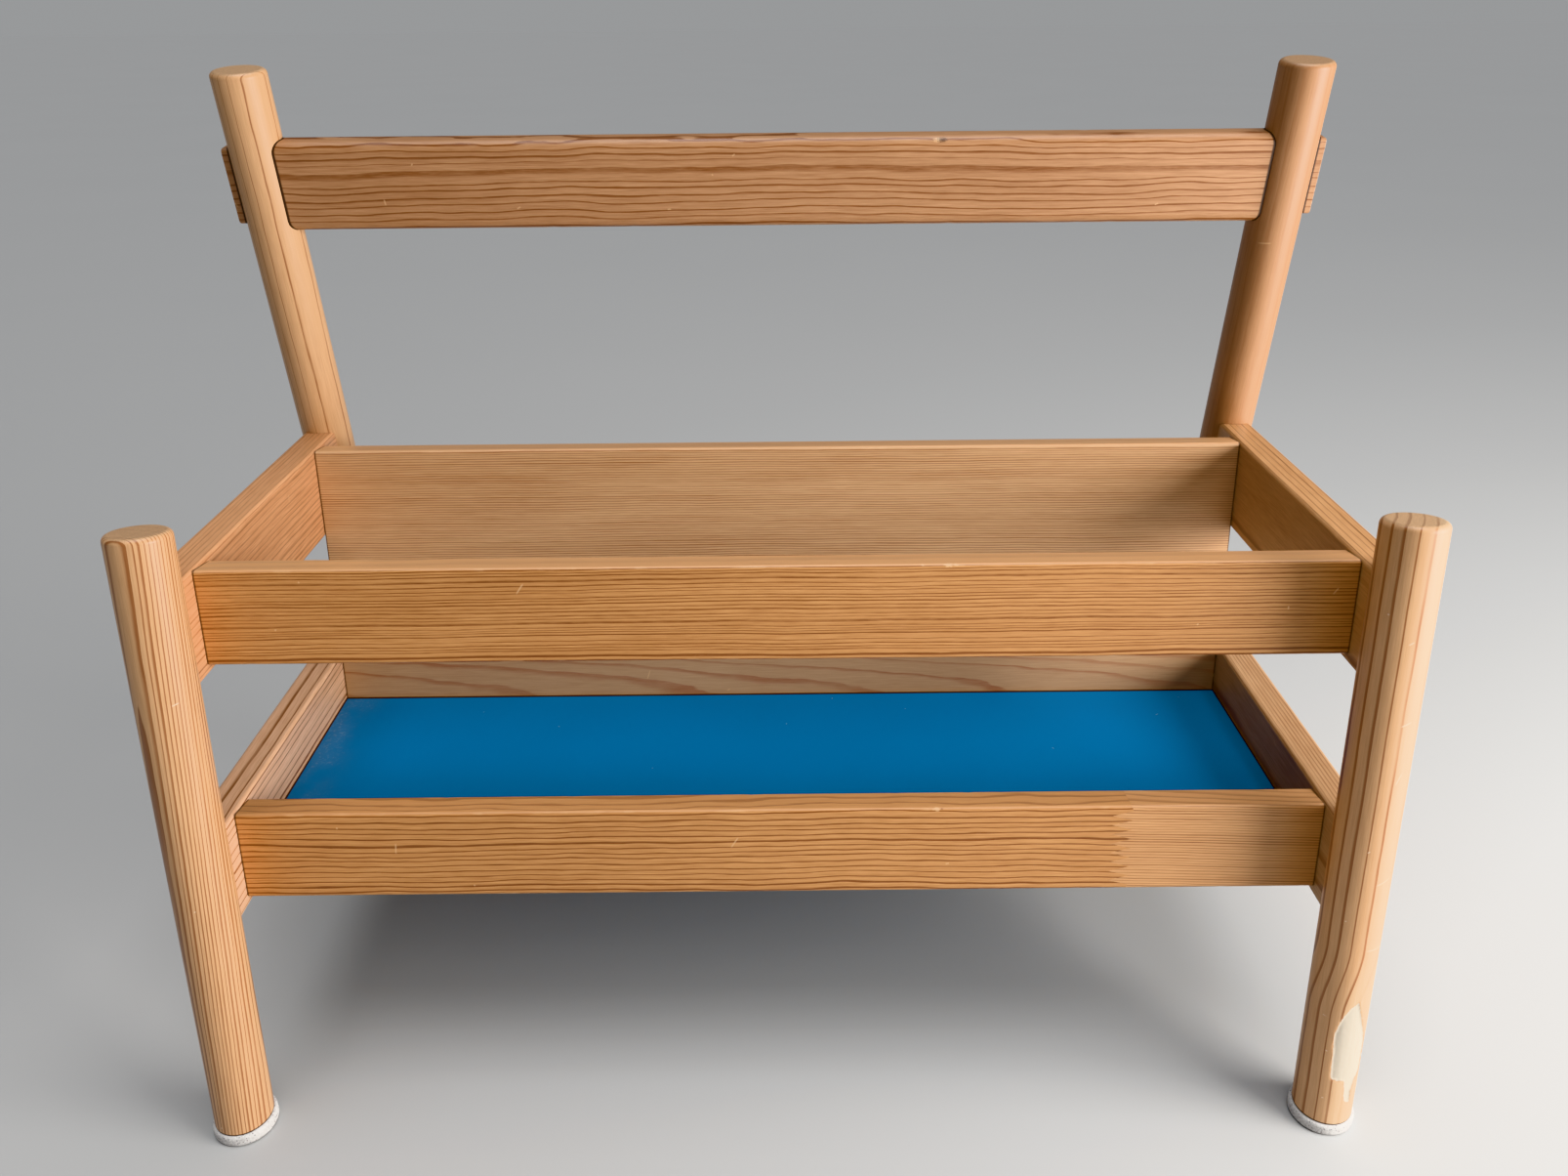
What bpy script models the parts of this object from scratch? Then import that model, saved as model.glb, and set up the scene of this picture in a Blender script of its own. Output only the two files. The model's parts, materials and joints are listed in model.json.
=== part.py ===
"""Children's book display: a low wooden rack on four leaning round posts.

Books stand on a floored tray and lean inside an open frame above it; a rail joins the tall rear posts.
X runs along the rack, +Y to the back and +Z up. The origin is on the floor, midway between the feet.
All lengths are in metres.
"""
import math

import bmesh
import bpy

# Posts
POST_DIAMETER = 0.035
POST_SPACING = 0.6825  # between the left and right post axes
LEAN = math.radians(8.0)  # front posts lean back and rear posts lean forward by this much
FRONT_POST_RISE = 0.0346  # front post above the upper end rails
REAR_POST_RISE = 0.043  # rear post above the top rail
POST_TOP_ROUND = 0.0035

# Felt pads under the posts
PAD_DIAMETER = 0.039
PAD_THICKNESS = 0.008
PAD_ROUND = 0.0015

# Boards
BOARD_THICKNESS = 0.022
BOARD_EDGE_ROUND = 0.0025
END_RAIL_HEIGHT = 0.0625
CROSS_RAIL_HEIGHT = 0.0573
BACK_BOARD_HEIGHT = 0.095

# Places of the two tiers
UPPER_TOP = 0.3515  # top of the upper end rails above the floor
LOWER_TOP = 0.1985  # top of the lower end rails above the floor
FRONT_GAP = 0.0102  # clear space between a front post and the front rails
WELL_DEPTH = 0.174  # clear space for books, square to the leaning boards
BACK_GAP = 0.0178  # level space between the upper back board and a rear post, at the upper tier's top

# Tray floor
TRAY_DEPTH = 0.0352  # tray floor below the lower end rails' tops
PANEL_THICKNESS = 0.006
GROOVE_DEPTH = 0.005
GROOVE_SLACK = 0.0008  # free height over the panel in its grooves
GROOVE_END_GAP = 0.0005

# Top rail
TOP_RAIL_CENTRE = 0.5343  # from the floor, along the rear post
TOP_RAIL_HEIGHT = 0.058
TOP_RAIL_THICKNESS = 0.022
TOP_RAIL_ROUND = 0.007
HOUSING_DEPTH = 0.0075  # how far the rail's shoulder sinks into a rear post
TENON_HEIGHT = 0.049
TENON_THICKNESS = 0.014
TENON_ROUND = 0.003
TENON_PROUD = 0.004

# Finger joint in the lower front rail
FINGER_JOINT_PLACE = 0.208  # right of the middle
FINGER_LENGTH = 0.014
FINGER_COUNT = 9

# Glued dowels
POST_DOWEL_DIAMETER = 0.010
POST_DOWEL_IN_POST = 0.018
POST_DOWEL_IN_RAIL = 0.014
POST_DOWEL_MARGIN = 0.013  # dowel axis to the rail's edge
RAIL_DOWEL_DIAMETER = 0.008
RAIL_DOWEL_IN_END = 0.014
RAIL_DOWEL_IN_RAIL = 0.020
RAIL_DOWEL_MARGIN = 0.010
DOWEL_CHAMFER = 0.0008

# Fits
JOINT_GAP = 0.0003  # between glued or touching faces
HOLE_END_GAP = 0.0005  # past each end of a dowel

# Roundness
POST_SIDES = 48
PAD_SIDES = 40
DOWEL_SIDES = 16
EDGE_STEPS = 3
POST_TOP_STEPS = 4
TOP_RAIL_STEPS = 5
SMOOTH_ANGLE = math.radians(40.0)

# Worked out from the sizes above
POST_RADIUS = POST_DIAMETER / 2
HALF_SPACING = POST_SPACING / 2
INNER_FACE = HALF_SPACING - BOARD_THICKNESS / 2  # inner face of the end rails
FRONT_FACE = POST_RADIUS + FRONT_GAP  # front posts' axis to the front rails' front face
WELL_FRONT = FRONT_FACE + BOARD_THICKNESS
WELL_BACK = WELL_FRONT + WELL_DEPTH
BOARDS_BACK = WELL_BACK + BOARD_THICKNESS
UPPER_AXIS_GAP = (BOARDS_BACK + POST_RADIUS) / math.cos(LEAN) + BACK_GAP
FOOT_SPREAD = UPPER_AXIS_GAP + 2 * UPPER_TOP * math.tan(LEAN)  # post axes at floor level, front to rear
FRONT_POST_LENGTH = (UPPER_TOP + FRONT_POST_RISE) / math.cos(LEAN)
REAR_POST_LENGTH = TOP_RAIL_CENTRE + TOP_RAIL_HEIGHT / 2 + REAR_POST_RISE
PANEL_TOP = LOWER_TOP - TRAY_DEPTH
BELOW_FLOOR = 2 * POST_DIAMETER  # spare post length that the level foot cut takes away

SIDES = {"left": -1, "right": 1}
ROWS = {"front": -1, "rear": 1}
TIERS = {"upper": UPPER_TOP, "lower": LOWER_TOP}

# Finishes: colours in linear RGB, and roughness
HONEY_PINE = (0.52, 0.27, 0.115)
PALE_PINE = (0.60, 0.35, 0.17)
RED_PINE = (0.42, 0.185, 0.07)
BEECH = (0.62, 0.42, 0.25)
FELT = (0.66, 0.65, 0.63)
BLUE_LAMINATE = (0.004, 0.125, 0.31)

LACQUER_ROUGHNESS = 0.4
BARE_WOOD_ROUGHNESS = 0.6
FELT_ROUGHNESS = 0.95
LAMINATE_ROUGHNESS = 0.35


def clear_scene():
    for obj in list(bpy.data.objects):
        bpy.data.objects.remove(obj, do_unlink=True)


def new_collection(name):
    collection = bpy.data.collections.new(name)
    bpy.context.scene.collection.children.link(collection)
    return collection


def lean_frame(name, row, parts):
    """An empty on the floor at a row's post axes, turned so that its Z runs up the leaning posts."""
    frame = bpy.data.objects.new(name, None)
    frame.location = (0, ROWS[row] * FOOT_SPREAD / 2, 0)
    frame.rotation_euler = (ROWS[row] * LEAN, 0, 0)
    parts.objects.link(frame)
    return frame


def mesh_object(bm, name, collection, parent, location, rotation=(0, 0, 0)):
    mesh = bpy.data.meshes.new(name)
    bm.to_mesh(mesh)
    bm.free()
    mesh.shade_smooth()
    mesh.set_sharp_from_angle(angle=SMOOTH_ANGLE)
    obj = bpy.data.objects.new(name, mesh)
    obj.parent = parent
    obj.location = location
    obj.rotation_euler = rotation
    collection.objects.link(obj)
    return obj


def finish(obj, colour, roughness):
    material = bpy.data.materials.new(obj.name)
    material.use_nodes = True
    shader = material.node_tree.nodes["Principled BSDF"]
    shader.inputs["Base Color"].default_value = (*colour, 1)
    shader.inputs["Roughness"].default_value = roughness
    shader.inputs["Metallic"].default_value = 0
    obj.data.materials.append(material)


def as_cutter(obj):
    obj.hide_render = True
    obj.display_type = "WIRE"
    return obj


def cut(obj, cutters, operation="DIFFERENCE"):
    for cutter in cutters:
        boolean = obj.modifiers.new(cutter.name, "BOOLEAN")
        boolean.operation = operation
        boolean.solver = "EXACT"
        boolean.object = cutter


def add_bevel(obj, width, steps):
    bevel = obj.modifiers.new("rounded edges", "BEVEL")
    bevel.limit_method = "WEIGHT"
    bevel.width = width
    bevel.segments = steps


def board(name, size, edge_round, steps, along, collection, parent, location):
    """A board whose edges along one axis are rounded, or all its edges where along is None."""
    bm = bmesh.new()
    bmesh.ops.create_cube(bm, size=1)
    bmesh.ops.scale(bm, vec=size, verts=bm.verts)
    weight = bm.edges.layers.float.new("bevel_weight_edge")
    for edge in bm.edges:
        run = edge.verts[1].co - edge.verts[0].co
        edge[weight] = 1.0 if along is None or abs(run[along]) > size[along] / 2 else 0.0
    obj = mesh_object(bm, name, collection, parent, location)
    add_bevel(obj, edge_round, steps)
    return obj


def rod(
    name, radius, low, high, sides, round_low, round_high,
    collection, parent, location, rotation=(0, 0, 0),
):
    """A round rod along its own Z, from low to high, with the rims named rounded or chamfered."""
    bm = bmesh.new()
    bmesh.ops.create_cone(
        bm, cap_ends=True, segments=sides, radius1=radius, radius2=radius, depth=high - low
    )
    bmesh.ops.translate(bm, vec=(0, 0, (low + high) / 2), verts=bm.verts)
    weight = bm.edges.layers.float.new("bevel_weight_edge")
    middle = (low + high) / 2
    for edge in bm.edges:
        heights = [vert.co.z for vert in edge.verts]
        top_rim = round_high and min(heights) > middle
        low_rim = round_low and max(heights) < middle
        edge[weight] = 1.0 if top_rim or low_rim else 0.0
    return mesh_object(bm, name, collection, parent, location, rotation)


def post_axis(row, height):
    """Where a post's axis stands, front to back, at a height above the floor."""
    return ROWS[row] * (FOOT_SPREAD / 2 - height * math.tan(LEAN))


def lean_plane(offset, height):
    """Front to back place of a plane parallel to the front posts, offset behind their axes."""
    return post_axis("front", height) + offset / math.cos(LEAN)


def lean_height(top, offset):
    """Height in the front lean frame of a point at a level, offset behind the post axes."""
    return (top + offset * math.sin(LEAN)) / math.cos(LEAN)


def make_posts(parts, cutters, frames):
    """Four round posts with rounded tops and feet cut level."""
    slab_size = (2 * POST_SPACING, 2 * FOOT_SPREAD, 2 * BELOW_FLOOR)
    slab_place = (0, 0, PAD_THICKNESS + JOINT_GAP - BELOW_FLOOR)
    bm = bmesh.new()
    bmesh.ops.create_cube(bm, size=1)
    bmesh.ops.scale(bm, vec=slab_size, verts=bm.verts)
    foot_cut = as_cutter(mesh_object(bm, "foot_cut", cutters, None, slab_place))
    lengths = {"front": FRONT_POST_LENGTH, "rear": REAR_POST_LENGTH}
    posts = {}
    copes = {}
    for row, length in lengths.items():
        for side, sign in SIDES.items():
            place = (sign * HALF_SPACING, 0, 0)
            post = rod(
                f"{row}_{side}_post", POST_RADIUS, -BELOW_FLOOR, length, POST_SIDES,
                False, True, parts, frames[row], place,
            )
            add_bevel(post, POST_TOP_ROUND, POST_TOP_STEPS)
            cut(post, [foot_cut])
            finish(post, HONEY_PINE, LACQUER_ROUGHNESS)
            posts[row, side] = post
            copes[row, side] = as_cutter(rod(
                f"{row}_{side}_cope", POST_RADIUS + JOINT_GAP, -BELOW_FLOOR, length + BELOW_FLOOR, POST_SIDES,
                False, False, cutters, frames[row], place,
            ))
    return posts, copes


def make_pads(parts):
    """Felt pads glued under the level feet."""
    for row in ROWS:
        for side, sign in SIDES.items():
            place = (sign * HALF_SPACING, post_axis(row, PAD_THICKNESS), 0)
            pad = rod(
                f"{row}_{side}_felt_pad", PAD_DIAMETER / 2, 0, PAD_THICKNESS, PAD_SIDES,
                True, True, parts, None, place,
            )
            add_bevel(pad, PAD_ROUND, EDGE_STEPS)
            finish(pad, FELT, FELT_ROUGHNESS)


def make_dowel(name, diameter, length, parts, cutters, parent, place, rotation):
    """A chamfered dowel and the hole that takes it."""
    dowel = rod(
        name, diameter / 2, -length / 2, length / 2, DOWEL_SIDES,
        True, True, parts, parent, place, rotation,
    )
    add_bevel(dowel, DOWEL_CHAMFER, 1)
    finish(dowel, BEECH, BARE_WOOD_ROUGHNESS)
    reach = length / 2 + HOLE_END_GAP
    return as_cutter(rod(
        f"{name}_hole", diameter / 2 + JOINT_GAP, -reach, reach, DOWEL_SIDES,
        False, False, cutters, parent, place, rotation,
    ))


def make_post_dowels(parts, cutters):
    """Two level dowels join each end of an end rail to its post."""
    holes = {}
    length = POST_DOWEL_IN_POST + POST_DOWEL_IN_RAIL
    shift = (POST_DOWEL_IN_POST - POST_DOWEL_IN_RAIL) / 2
    for tier, top in TIERS.items():
        heights = {
            "top": top - POST_DOWEL_MARGIN,
            "bottom": top - END_RAIL_HEIGHT + POST_DOWEL_MARGIN,
        }
        for row, outward in ROWS.items():
            for side, sign in SIDES.items():
                for level, height in heights.items():
                    post_face = post_axis(row, height) - outward * POST_RADIUS / math.cos(LEAN)
                    place = (sign * HALF_SPACING, post_face + outward * shift, height)
                    name = f"post_dowel_{tier}_{row}_{side}_{level}"
                    hole = make_dowel(
                        name, POST_DOWEL_DIAMETER, length, parts, cutters, None, place, (math.pi / 2, 0, 0)
                    )
                    holes.setdefault((tier, row, side), []).append(hole)
    return holes


def make_rail_dowels(parts, cutters, frames):
    """Two dowels along X join each end of a cross rail to an end rail's inner face."""
    holes = {}
    length = RAIL_DOWEL_IN_END + RAIL_DOWEL_IN_RAIL
    shift = (RAIL_DOWEL_IN_END - RAIL_DOWEL_IN_RAIL) / 2
    shared_height = min(CROSS_RAIL_HEIGHT, END_RAIL_HEIGHT)
    drops = {"top": RAIL_DOWEL_MARGIN, "bottom": shared_height - RAIL_DOWEL_MARGIN}
    for tier, top in TIERS.items():
        for board_row, face in {"front": FRONT_FACE, "back": WELL_BACK}.items():
            for side, sign in SIDES.items():
                for level, drop in drops.items():
                    place = (
                        sign * (INNER_FACE + shift),
                        face + BOARD_THICKNESS / 2,
                        lean_height(top, face) - drop,
                    )
                    name = f"rail_dowel_{tier}_{board_row}_{side}_{level}"
                    hole = make_dowel(
                        name, RAIL_DOWEL_DIAMETER, length, parts, cutters,
                        frames["front"], place, (0, math.pi / 2, 0),
                    )
                    holes.setdefault((tier, board_row, side), []).append(hole)
    return holes


def make_tray_panel(parts, cutters):
    """The blue tray floor, and the groove round it that the four lower rails share."""
    middle = PANEL_TOP - PANEL_THICKNESS / 2
    front = lean_plane(WELL_FRONT, middle) - GROOVE_DEPTH
    back = lean_plane(WELL_BACK, middle) + GROOVE_DEPTH
    half_width = INNER_FACE + GROOVE_DEPTH
    bm = bmesh.new()
    bmesh.ops.create_cube(bm, size=1)
    size = (2 * (half_width - GROOVE_END_GAP), back - front - 2 * GROOVE_END_GAP, PANEL_THICKNESS)
    bmesh.ops.scale(bm, vec=size, verts=bm.verts)
    panel = mesh_object(bm, "tray_panel", parts, None, (0, (front + back) / 2, middle))
    finish(panel, BLUE_LAMINATE, LAMINATE_ROUGHNESS)
    bm = bmesh.new()
    bmesh.ops.create_cube(bm, size=1)
    height = PANEL_THICKNESS + JOINT_GAP + GROOVE_SLACK
    bmesh.ops.scale(bm, vec=(2 * half_width, back - front, height), verts=bm.verts)
    groove_place = (0, (front + back) / 2, PANEL_TOP + GROOVE_SLACK - height / 2)
    return as_cutter(mesh_object(bm, "tray_groove", cutters, None, groove_place))


def make_end_rails(parts, copes, post_holes, rail_holes, groove):
    """Four level end rails, hollowed at both ends to fit the round posts."""
    for tier, top in TIERS.items():
        middle = top - END_RAIL_HEIGHT / 2
        length = post_axis("rear", middle) - post_axis("front", middle)
        for side, sign in SIDES.items():
            rail = board(
                f"{tier}_{side}_end_rail", (BOARD_THICKNESS, length, END_RAIL_HEIGHT),
                BOARD_EDGE_ROUND, EDGE_STEPS, 1, parts, None, (sign * HALF_SPACING, 0, middle),
            )
            cut(rail, [copes["front", side], copes["rear", side]])
            cut(rail, post_holes[tier, "front", side] + post_holes[tier, "rear", side])
            cut(rail, rail_holes[tier, "front", side] + rail_holes[tier, "back", side])
            if tier == "lower":
                cut(rail, [groove])
            finish(rail, PALE_PINE, LACQUER_ROUGHNESS)


def cross_board(name, tier, face, height, parts, frames):
    """A leaning board between the end rails, its top front edge level with their tops."""
    size = (2 * (INNER_FACE - JOINT_GAP), BOARD_THICKNESS, height)
    place = (0, face + BOARD_THICKNESS / 2, lean_height(TIERS[tier], face) - height / 2)
    return board(name, size, BOARD_EDGE_ROUND, EDGE_STEPS, 0, parts, frames["front"], place)


def finger_block(name, keep, cutters, rail):
    """A block with a zigzag end that keeps the part of the rail on one side of the finger joint."""
    pitch = CROSS_RAIL_HEIGHT / FINGER_COUNT
    half_angle = math.atan(pitch / 2 / FINGER_LENGTH)
    edge_shift = keep * JOINT_GAP / 2 / math.sin(half_angle)
    outline = []
    spare = 2  # half fingers past each edge of the rail
    for step in range(-spare, 2 * FINGER_COUNT + spare + 1):
        swing = FINGER_LENGTH / 2 if step % 2 else -FINGER_LENGTH / 2
        outline.append((FINGER_JOINT_PLACE + edge_shift + swing, step * pitch / 2 - CROSS_RAIL_HEIGHT / 2))
    far = keep * POST_SPACING
    outline += [(far, outline[-1][1]), (far, outline[0][1])]
    bm = bmesh.new()
    face = bm.faces.new([bm.verts.new((x, -BOARD_THICKNESS, z)) for x, z in outline])
    grown = bmesh.ops.extrude_face_region(bm, geom=[face])
    far_side = [item for item in grown["geom"] if isinstance(item, bmesh.types.BMVert)]
    bmesh.ops.translate(bm, vec=(0, 2 * BOARD_THICKNESS, 0), verts=far_side)
    bmesh.ops.recalc_face_normals(bm, faces=bm.faces)
    return as_cutter(mesh_object(bm, name, cutters, rail.parent, rail.location))


def make_cross_rails(parts, cutters, frames, rail_holes, groove):
    """Front rails and back boards; the lower front rail is two lengths joined by fingers."""
    both_ends = {
        (tier, row): rail_holes[tier, row, "left"] + rail_holes[tier, row, "right"]
        for tier in TIERS
        for row in ("front", "back")
    }
    upper_front = cross_board("upper_front_rail", "upper", FRONT_FACE, CROSS_RAIL_HEIGHT, parts, frames)
    cut(upper_front, both_ends["upper", "front"])
    finish(upper_front, HONEY_PINE, LACQUER_ROUGHNESS)
    upper_back = cross_board("upper_back_board", "upper", WELL_BACK, BACK_BOARD_HEIGHT, parts, frames)
    cut(upper_back, both_ends["upper", "back"])
    finish(upper_back, PALE_PINE, LACQUER_ROUGHNESS)
    lower_back = cross_board("lower_back_rail", "lower", WELL_BACK, CROSS_RAIL_HEIGHT, parts, frames)
    cut(lower_back, both_ends["lower", "back"] + [groove])
    finish(lower_back, PALE_PINE, LACQUER_ROUGHNESS)
    for length_name, keep in {"long": -1, "short": 1}.items():
        name = f"lower_front_rail_{length_name}"
        rail = cross_board(name, "lower", FRONT_FACE, CROSS_RAIL_HEIGHT, parts, frames)
        cut(rail, [finger_block(f"{name}_fingers", keep, cutters, rail)], "INTERSECT")
        side = "left" if keep < 0 else "right"
        cut(rail, rail_holes["lower", "front", side] + [groove])
        finish(rail, HONEY_PINE, LACQUER_ROUGHNESS)


def make_top_rail(parts, cutters, frames, posts):
    """The rail across the rear posts, housed in their inner sides, with tenons right through."""
    shoulder = HALF_SPACING - POST_RADIUS + HOUSING_DEPTH
    tip = HALF_SPACING + POST_RADIUS + TENON_PROUD
    place = (0, 0, TOP_RAIL_CENTRE)
    body_size = (2 * shoulder, TOP_RAIL_THICKNESS, TOP_RAIL_HEIGHT)
    tenon_size = (2 * tip, TENON_THICKNESS, TENON_HEIGHT)
    frame = frames["rear"]
    rail = board("top_rail", body_size, TOP_RAIL_ROUND, TOP_RAIL_STEPS, 0, parts, frame, place)
    tenons = board("top_rail_tenons", tenon_size, TENON_ROUND, EDGE_STEPS, None, cutters, frame, place)
    cut(rail, [as_cutter(tenons)], "UNION")
    finish(rail, RED_PINE, LACQUER_ROUGHNESS)
    housing_size = [side + 2 * JOINT_GAP for side in body_size]
    mortise_size = [side + 2 * JOINT_GAP for side in tenon_size]
    housing = board(
        "housing", housing_size, TOP_RAIL_ROUND + JOINT_GAP, TOP_RAIL_STEPS, 0, cutters, frame, place
    )
    mortise = board("mortise", mortise_size, TENON_ROUND + JOINT_GAP, EDGE_STEPS, 0, cutters, frame, place)
    for side in SIDES:
        cut(posts["rear", side], [as_cutter(housing), as_cutter(mortise)])


def main():
    clear_scene()
    parts = new_collection("book_display")
    cutters = new_collection("cutters")
    frames = {row: lean_frame(f"{row}_lean", row, parts) for row in ROWS}
    posts, copes = make_posts(parts, cutters, frames)
    make_pads(parts)
    post_holes = make_post_dowels(parts, cutters)
    rail_holes = make_rail_dowels(parts, cutters, frames)
    groove = make_tray_panel(parts, cutters)
    make_end_rails(parts, copes, post_holes, rail_holes, groove)
    make_cross_rails(parts, cutters, frames, rail_holes, groove)
    make_top_rail(parts, cutters, frames, posts)
    for (_, row, side), holes in post_holes.items():
        cut(posts[row, side], holes)


if __name__ == "__main__":
    main()
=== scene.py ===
"""Looks of a low wooden book display for children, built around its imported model.

The posts, rails, boards, felt pads and tray panel are modelled again, with soft and lightly worn edges and
with a figure of grain for each length of wood, and each stands in for its node. The dowels, hidden in the
joints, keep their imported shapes.
"""
import json
import math
from dataclasses import dataclass, fields
from functools import partial

import bmesh
import bpy
from bpy.props import FloatProperty, FloatVectorProperty, IntProperty, PointerProperty
from mathutils import Euler, Matrix, Vector, noise


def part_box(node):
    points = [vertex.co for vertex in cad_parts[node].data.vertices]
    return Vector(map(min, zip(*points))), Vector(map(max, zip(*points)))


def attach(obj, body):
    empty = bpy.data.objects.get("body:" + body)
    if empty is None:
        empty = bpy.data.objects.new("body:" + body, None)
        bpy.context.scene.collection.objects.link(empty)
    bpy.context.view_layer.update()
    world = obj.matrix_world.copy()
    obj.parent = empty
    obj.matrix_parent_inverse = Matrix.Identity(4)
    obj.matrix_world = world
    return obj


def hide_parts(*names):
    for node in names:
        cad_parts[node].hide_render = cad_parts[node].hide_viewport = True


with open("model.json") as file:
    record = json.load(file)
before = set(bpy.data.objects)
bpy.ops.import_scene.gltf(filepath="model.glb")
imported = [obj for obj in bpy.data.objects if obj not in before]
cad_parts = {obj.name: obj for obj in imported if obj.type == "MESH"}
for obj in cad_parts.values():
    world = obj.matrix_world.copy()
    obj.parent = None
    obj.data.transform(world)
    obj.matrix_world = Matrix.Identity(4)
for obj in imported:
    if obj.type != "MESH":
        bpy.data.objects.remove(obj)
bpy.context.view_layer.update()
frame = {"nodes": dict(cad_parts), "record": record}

bl_info = {
    "name": "Children's Book Display",
    "version": (1, 0, 0),
    "blender": (4, 5, 0),
    "location": "3D View > Sidebar > Book Display",
    "description": "Models and finishes the pieces of a low wooden book display",
    "category": "Object",
}

SLOTS = {part["node"]: part["material_slot"] for part in frame["record"]["subparts"]}
SETTINGS_PREFIX = "book_display_"
SIDES = ("left", "right")
ROWS = {"front": -1, "rear": 1}  # with the way along Y that each row of posts lies from the middle

# Roundness of the shapes
SHARP_ANGLE = math.radians(40.0)
EDGE_STEPS = 5  # in the rounded edge of a board or post
SMALL_EDGE_STEPS = 2  # in the edges of a tenon's end and of the tray panel
FELT_EDGE_STEPS = 4
ROUND_SIDES = 128  # round a post or a felt pad
BOARD_CUTS = 160  # across a long board, for its dents
TOP_RAIL_CUTS = 120
END_RAIL_CUTS = 11  # in a rail's thickness, where it meets the round of a post
FELT_CUTS = 5
ALIGNED = 0.99  # least share of an edge's length that lies along an axis it is said to follow


# Settings that a user would change

def length(name, description, default):
    """A length in metres."""
    return FloatProperty(name=name, description=description, default=default, min=0.0, precision=5,
                         subtype="DISTANCE", unit="LENGTH")


def angle(name, description, default):
    """An angle, given in degrees and kept in radians."""
    return FloatProperty(name=name, description=description, default=math.radians(default),
                         subtype="ANGLE", unit="ROTATION")


def amount(name, description, default, unit="NONE"):
    """A number that is not below zero."""
    return FloatProperty(name=name, description=description, default=default, min=0.0, unit=unit)


def colour(name, description, *default):
    """A colour in linear light."""
    return FloatVectorProperty(name=name, description=description, default=default, size=3, min=0.0,
                               max=1.0, subtype="COLOR")


def position(name, description, *default):
    """A place in the frame, in metres."""
    return FloatVectorProperty(name=name, description=description, default=default, size=3, precision=5,
                               subtype="TRANSLATION", unit="LENGTH")


class BOOKDISPLAY_PG_sizes(bpy.types.PropertyGroup):
    """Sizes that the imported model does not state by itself"""

    lean: angle("Lean", "How far the posts and boards lean from upright", 8.0)
    edge_round: length("Edge round", "Radius of the boards' long edges", 0.0025)
    rail_round: length("Top rail round", "Radius of the top rail's long edges", 0.007)
    post_round: length("Post round", "Radius of the rim at the top of a post", 0.0035)
    panel_round: length("Panel round", "Radius of the tray panel's edges", 0.0004)
    housing_depth: length("Housing depth", "How far the top rail sinks into a rear post", 0.0075)
    tenon_inset: length("Tenon inset", "How far a tenon is smaller than its rail, all round", 0.00425)
    tenon_round: length("Tenon round", "Radius of the rim at the end of a tenon", 0.0008)
    joint_gap: length("Joint gap", "Space left at a glue line", 0.0003)
    finger_gap: length("Finger gap", "Space left between the fingers of the long rail's joint", 0.00006)
    finger_count: IntProperty(name="Fingers", description="Fingers in the long rail's joint", default=9,
                              min=1)
    dent_depth: length("Dent depth", "Depth of the dents along the boards' edges", 0.0006)
    split_depth: length("Split depth", "Depth of the split on the front right post", 0.0007)
    split_rim: length("Split rim", "Width of the slope at the rim of the split", 0.0006)
    felt_fuzz: length("Felt fuzz", "Height of the felt's uneven surface", 0.00035)


class BOOKDISPLAY_PG_colours(bpy.types.PropertyGroup):
    """Colours of the wood, the felt and the tray panel"""

    honey: colour("Honey", "Pale wood of the front rails", 0.545, 0.270, 0.106)
    wheat: colour("Wheat", "Pale wood of the short front length and an upper end rail", 0.61, 0.33, 0.152)
    straw: colour("Straw", "Pale wood of the posts", 0.68, 0.400, 0.212)
    tan: colour("Tan", "Pale wood of the upper back board", 0.66, 0.395, 0.21)
    # Shaded tan is tan darkened as painted shade: for the lower back rail, which lies in the shade of the
    # upper front rail, and for the lower right end rail
    dun: colour("Dun", "Pale wood of the lower back rail and lower right end rail", 0.53, 0.325, 0.18)
    rose: colour("Rose", "Pale wood of the upper left end rail", 0.625, 0.312, 0.158)
    ash: colour("Ash", "Pale wood of the lower left end rail", 0.75, 0.455, 0.285)
    amber: colour("Amber", "Pale wood of the top rail and the rear right post", 0.46, 0.242, 0.122)
    sap: colour("Sap", "Outer wood of a trunk", 0.78, 0.53, 0.32)
    brown: colour("Brown", "Dark part of a growth ring", 0.235, 0.088, 0.030)
    russet: colour("Russet", "Dark part of a growth ring in the pale wood", 0.36, 0.155, 0.066)
    rust: colour("Rust", "Broad dark figure in the lower back rail", 0.39, 0.17, 0.088)
    # Toplit is painted top light: a paler colour painted on the top faces of the boards
    toplit: colour("Toplit", "Top faces of the boards", 0.73, 0.405, 0.20)
    worn: colour("Worn", "Bare wood on worn edges", 0.76, 0.49, 0.265)
    scuffed: colour("Scuffed", "Scratches on the front posts", 1.0, 0.85, 0.65)
    sawn: colour("Sawn", "End grain on the tops of the posts", 0.56, 0.38, 0.225)
    bare: colour("Bare", "Freshly split wood", 0.565, 0.533, 0.458)
    # Shade and grime: dark colour of the painted shadow lines at gaps, of the painted shade in the joints,
    # partly glue and dirt, and of a dark nick on the top rail
    grime: colour("Grime", "Dirt in the joints", 0.055, 0.024, 0.012)
    beech: colour("Beech", "Dowels", 0.62, 0.42, 0.25)
    blue: colour("Blue", "Tray panel", 0.0, 0.133, 0.332)
    dust: colour("Dust", "Dust and specks on the tray panel", 0.36, 0.44, 0.50)
    felt: colour("Felt", "Felt pads", 0.70, 0.68, 0.66)
    dark_speck: colour("Dark speck", "Dark hairs in the felt", 0.03, 0.035, 0.06)
    red_speck: colour("Red speck", "Reddish hairs in the felt", 0.25, 0.15, 0.16)


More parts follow.
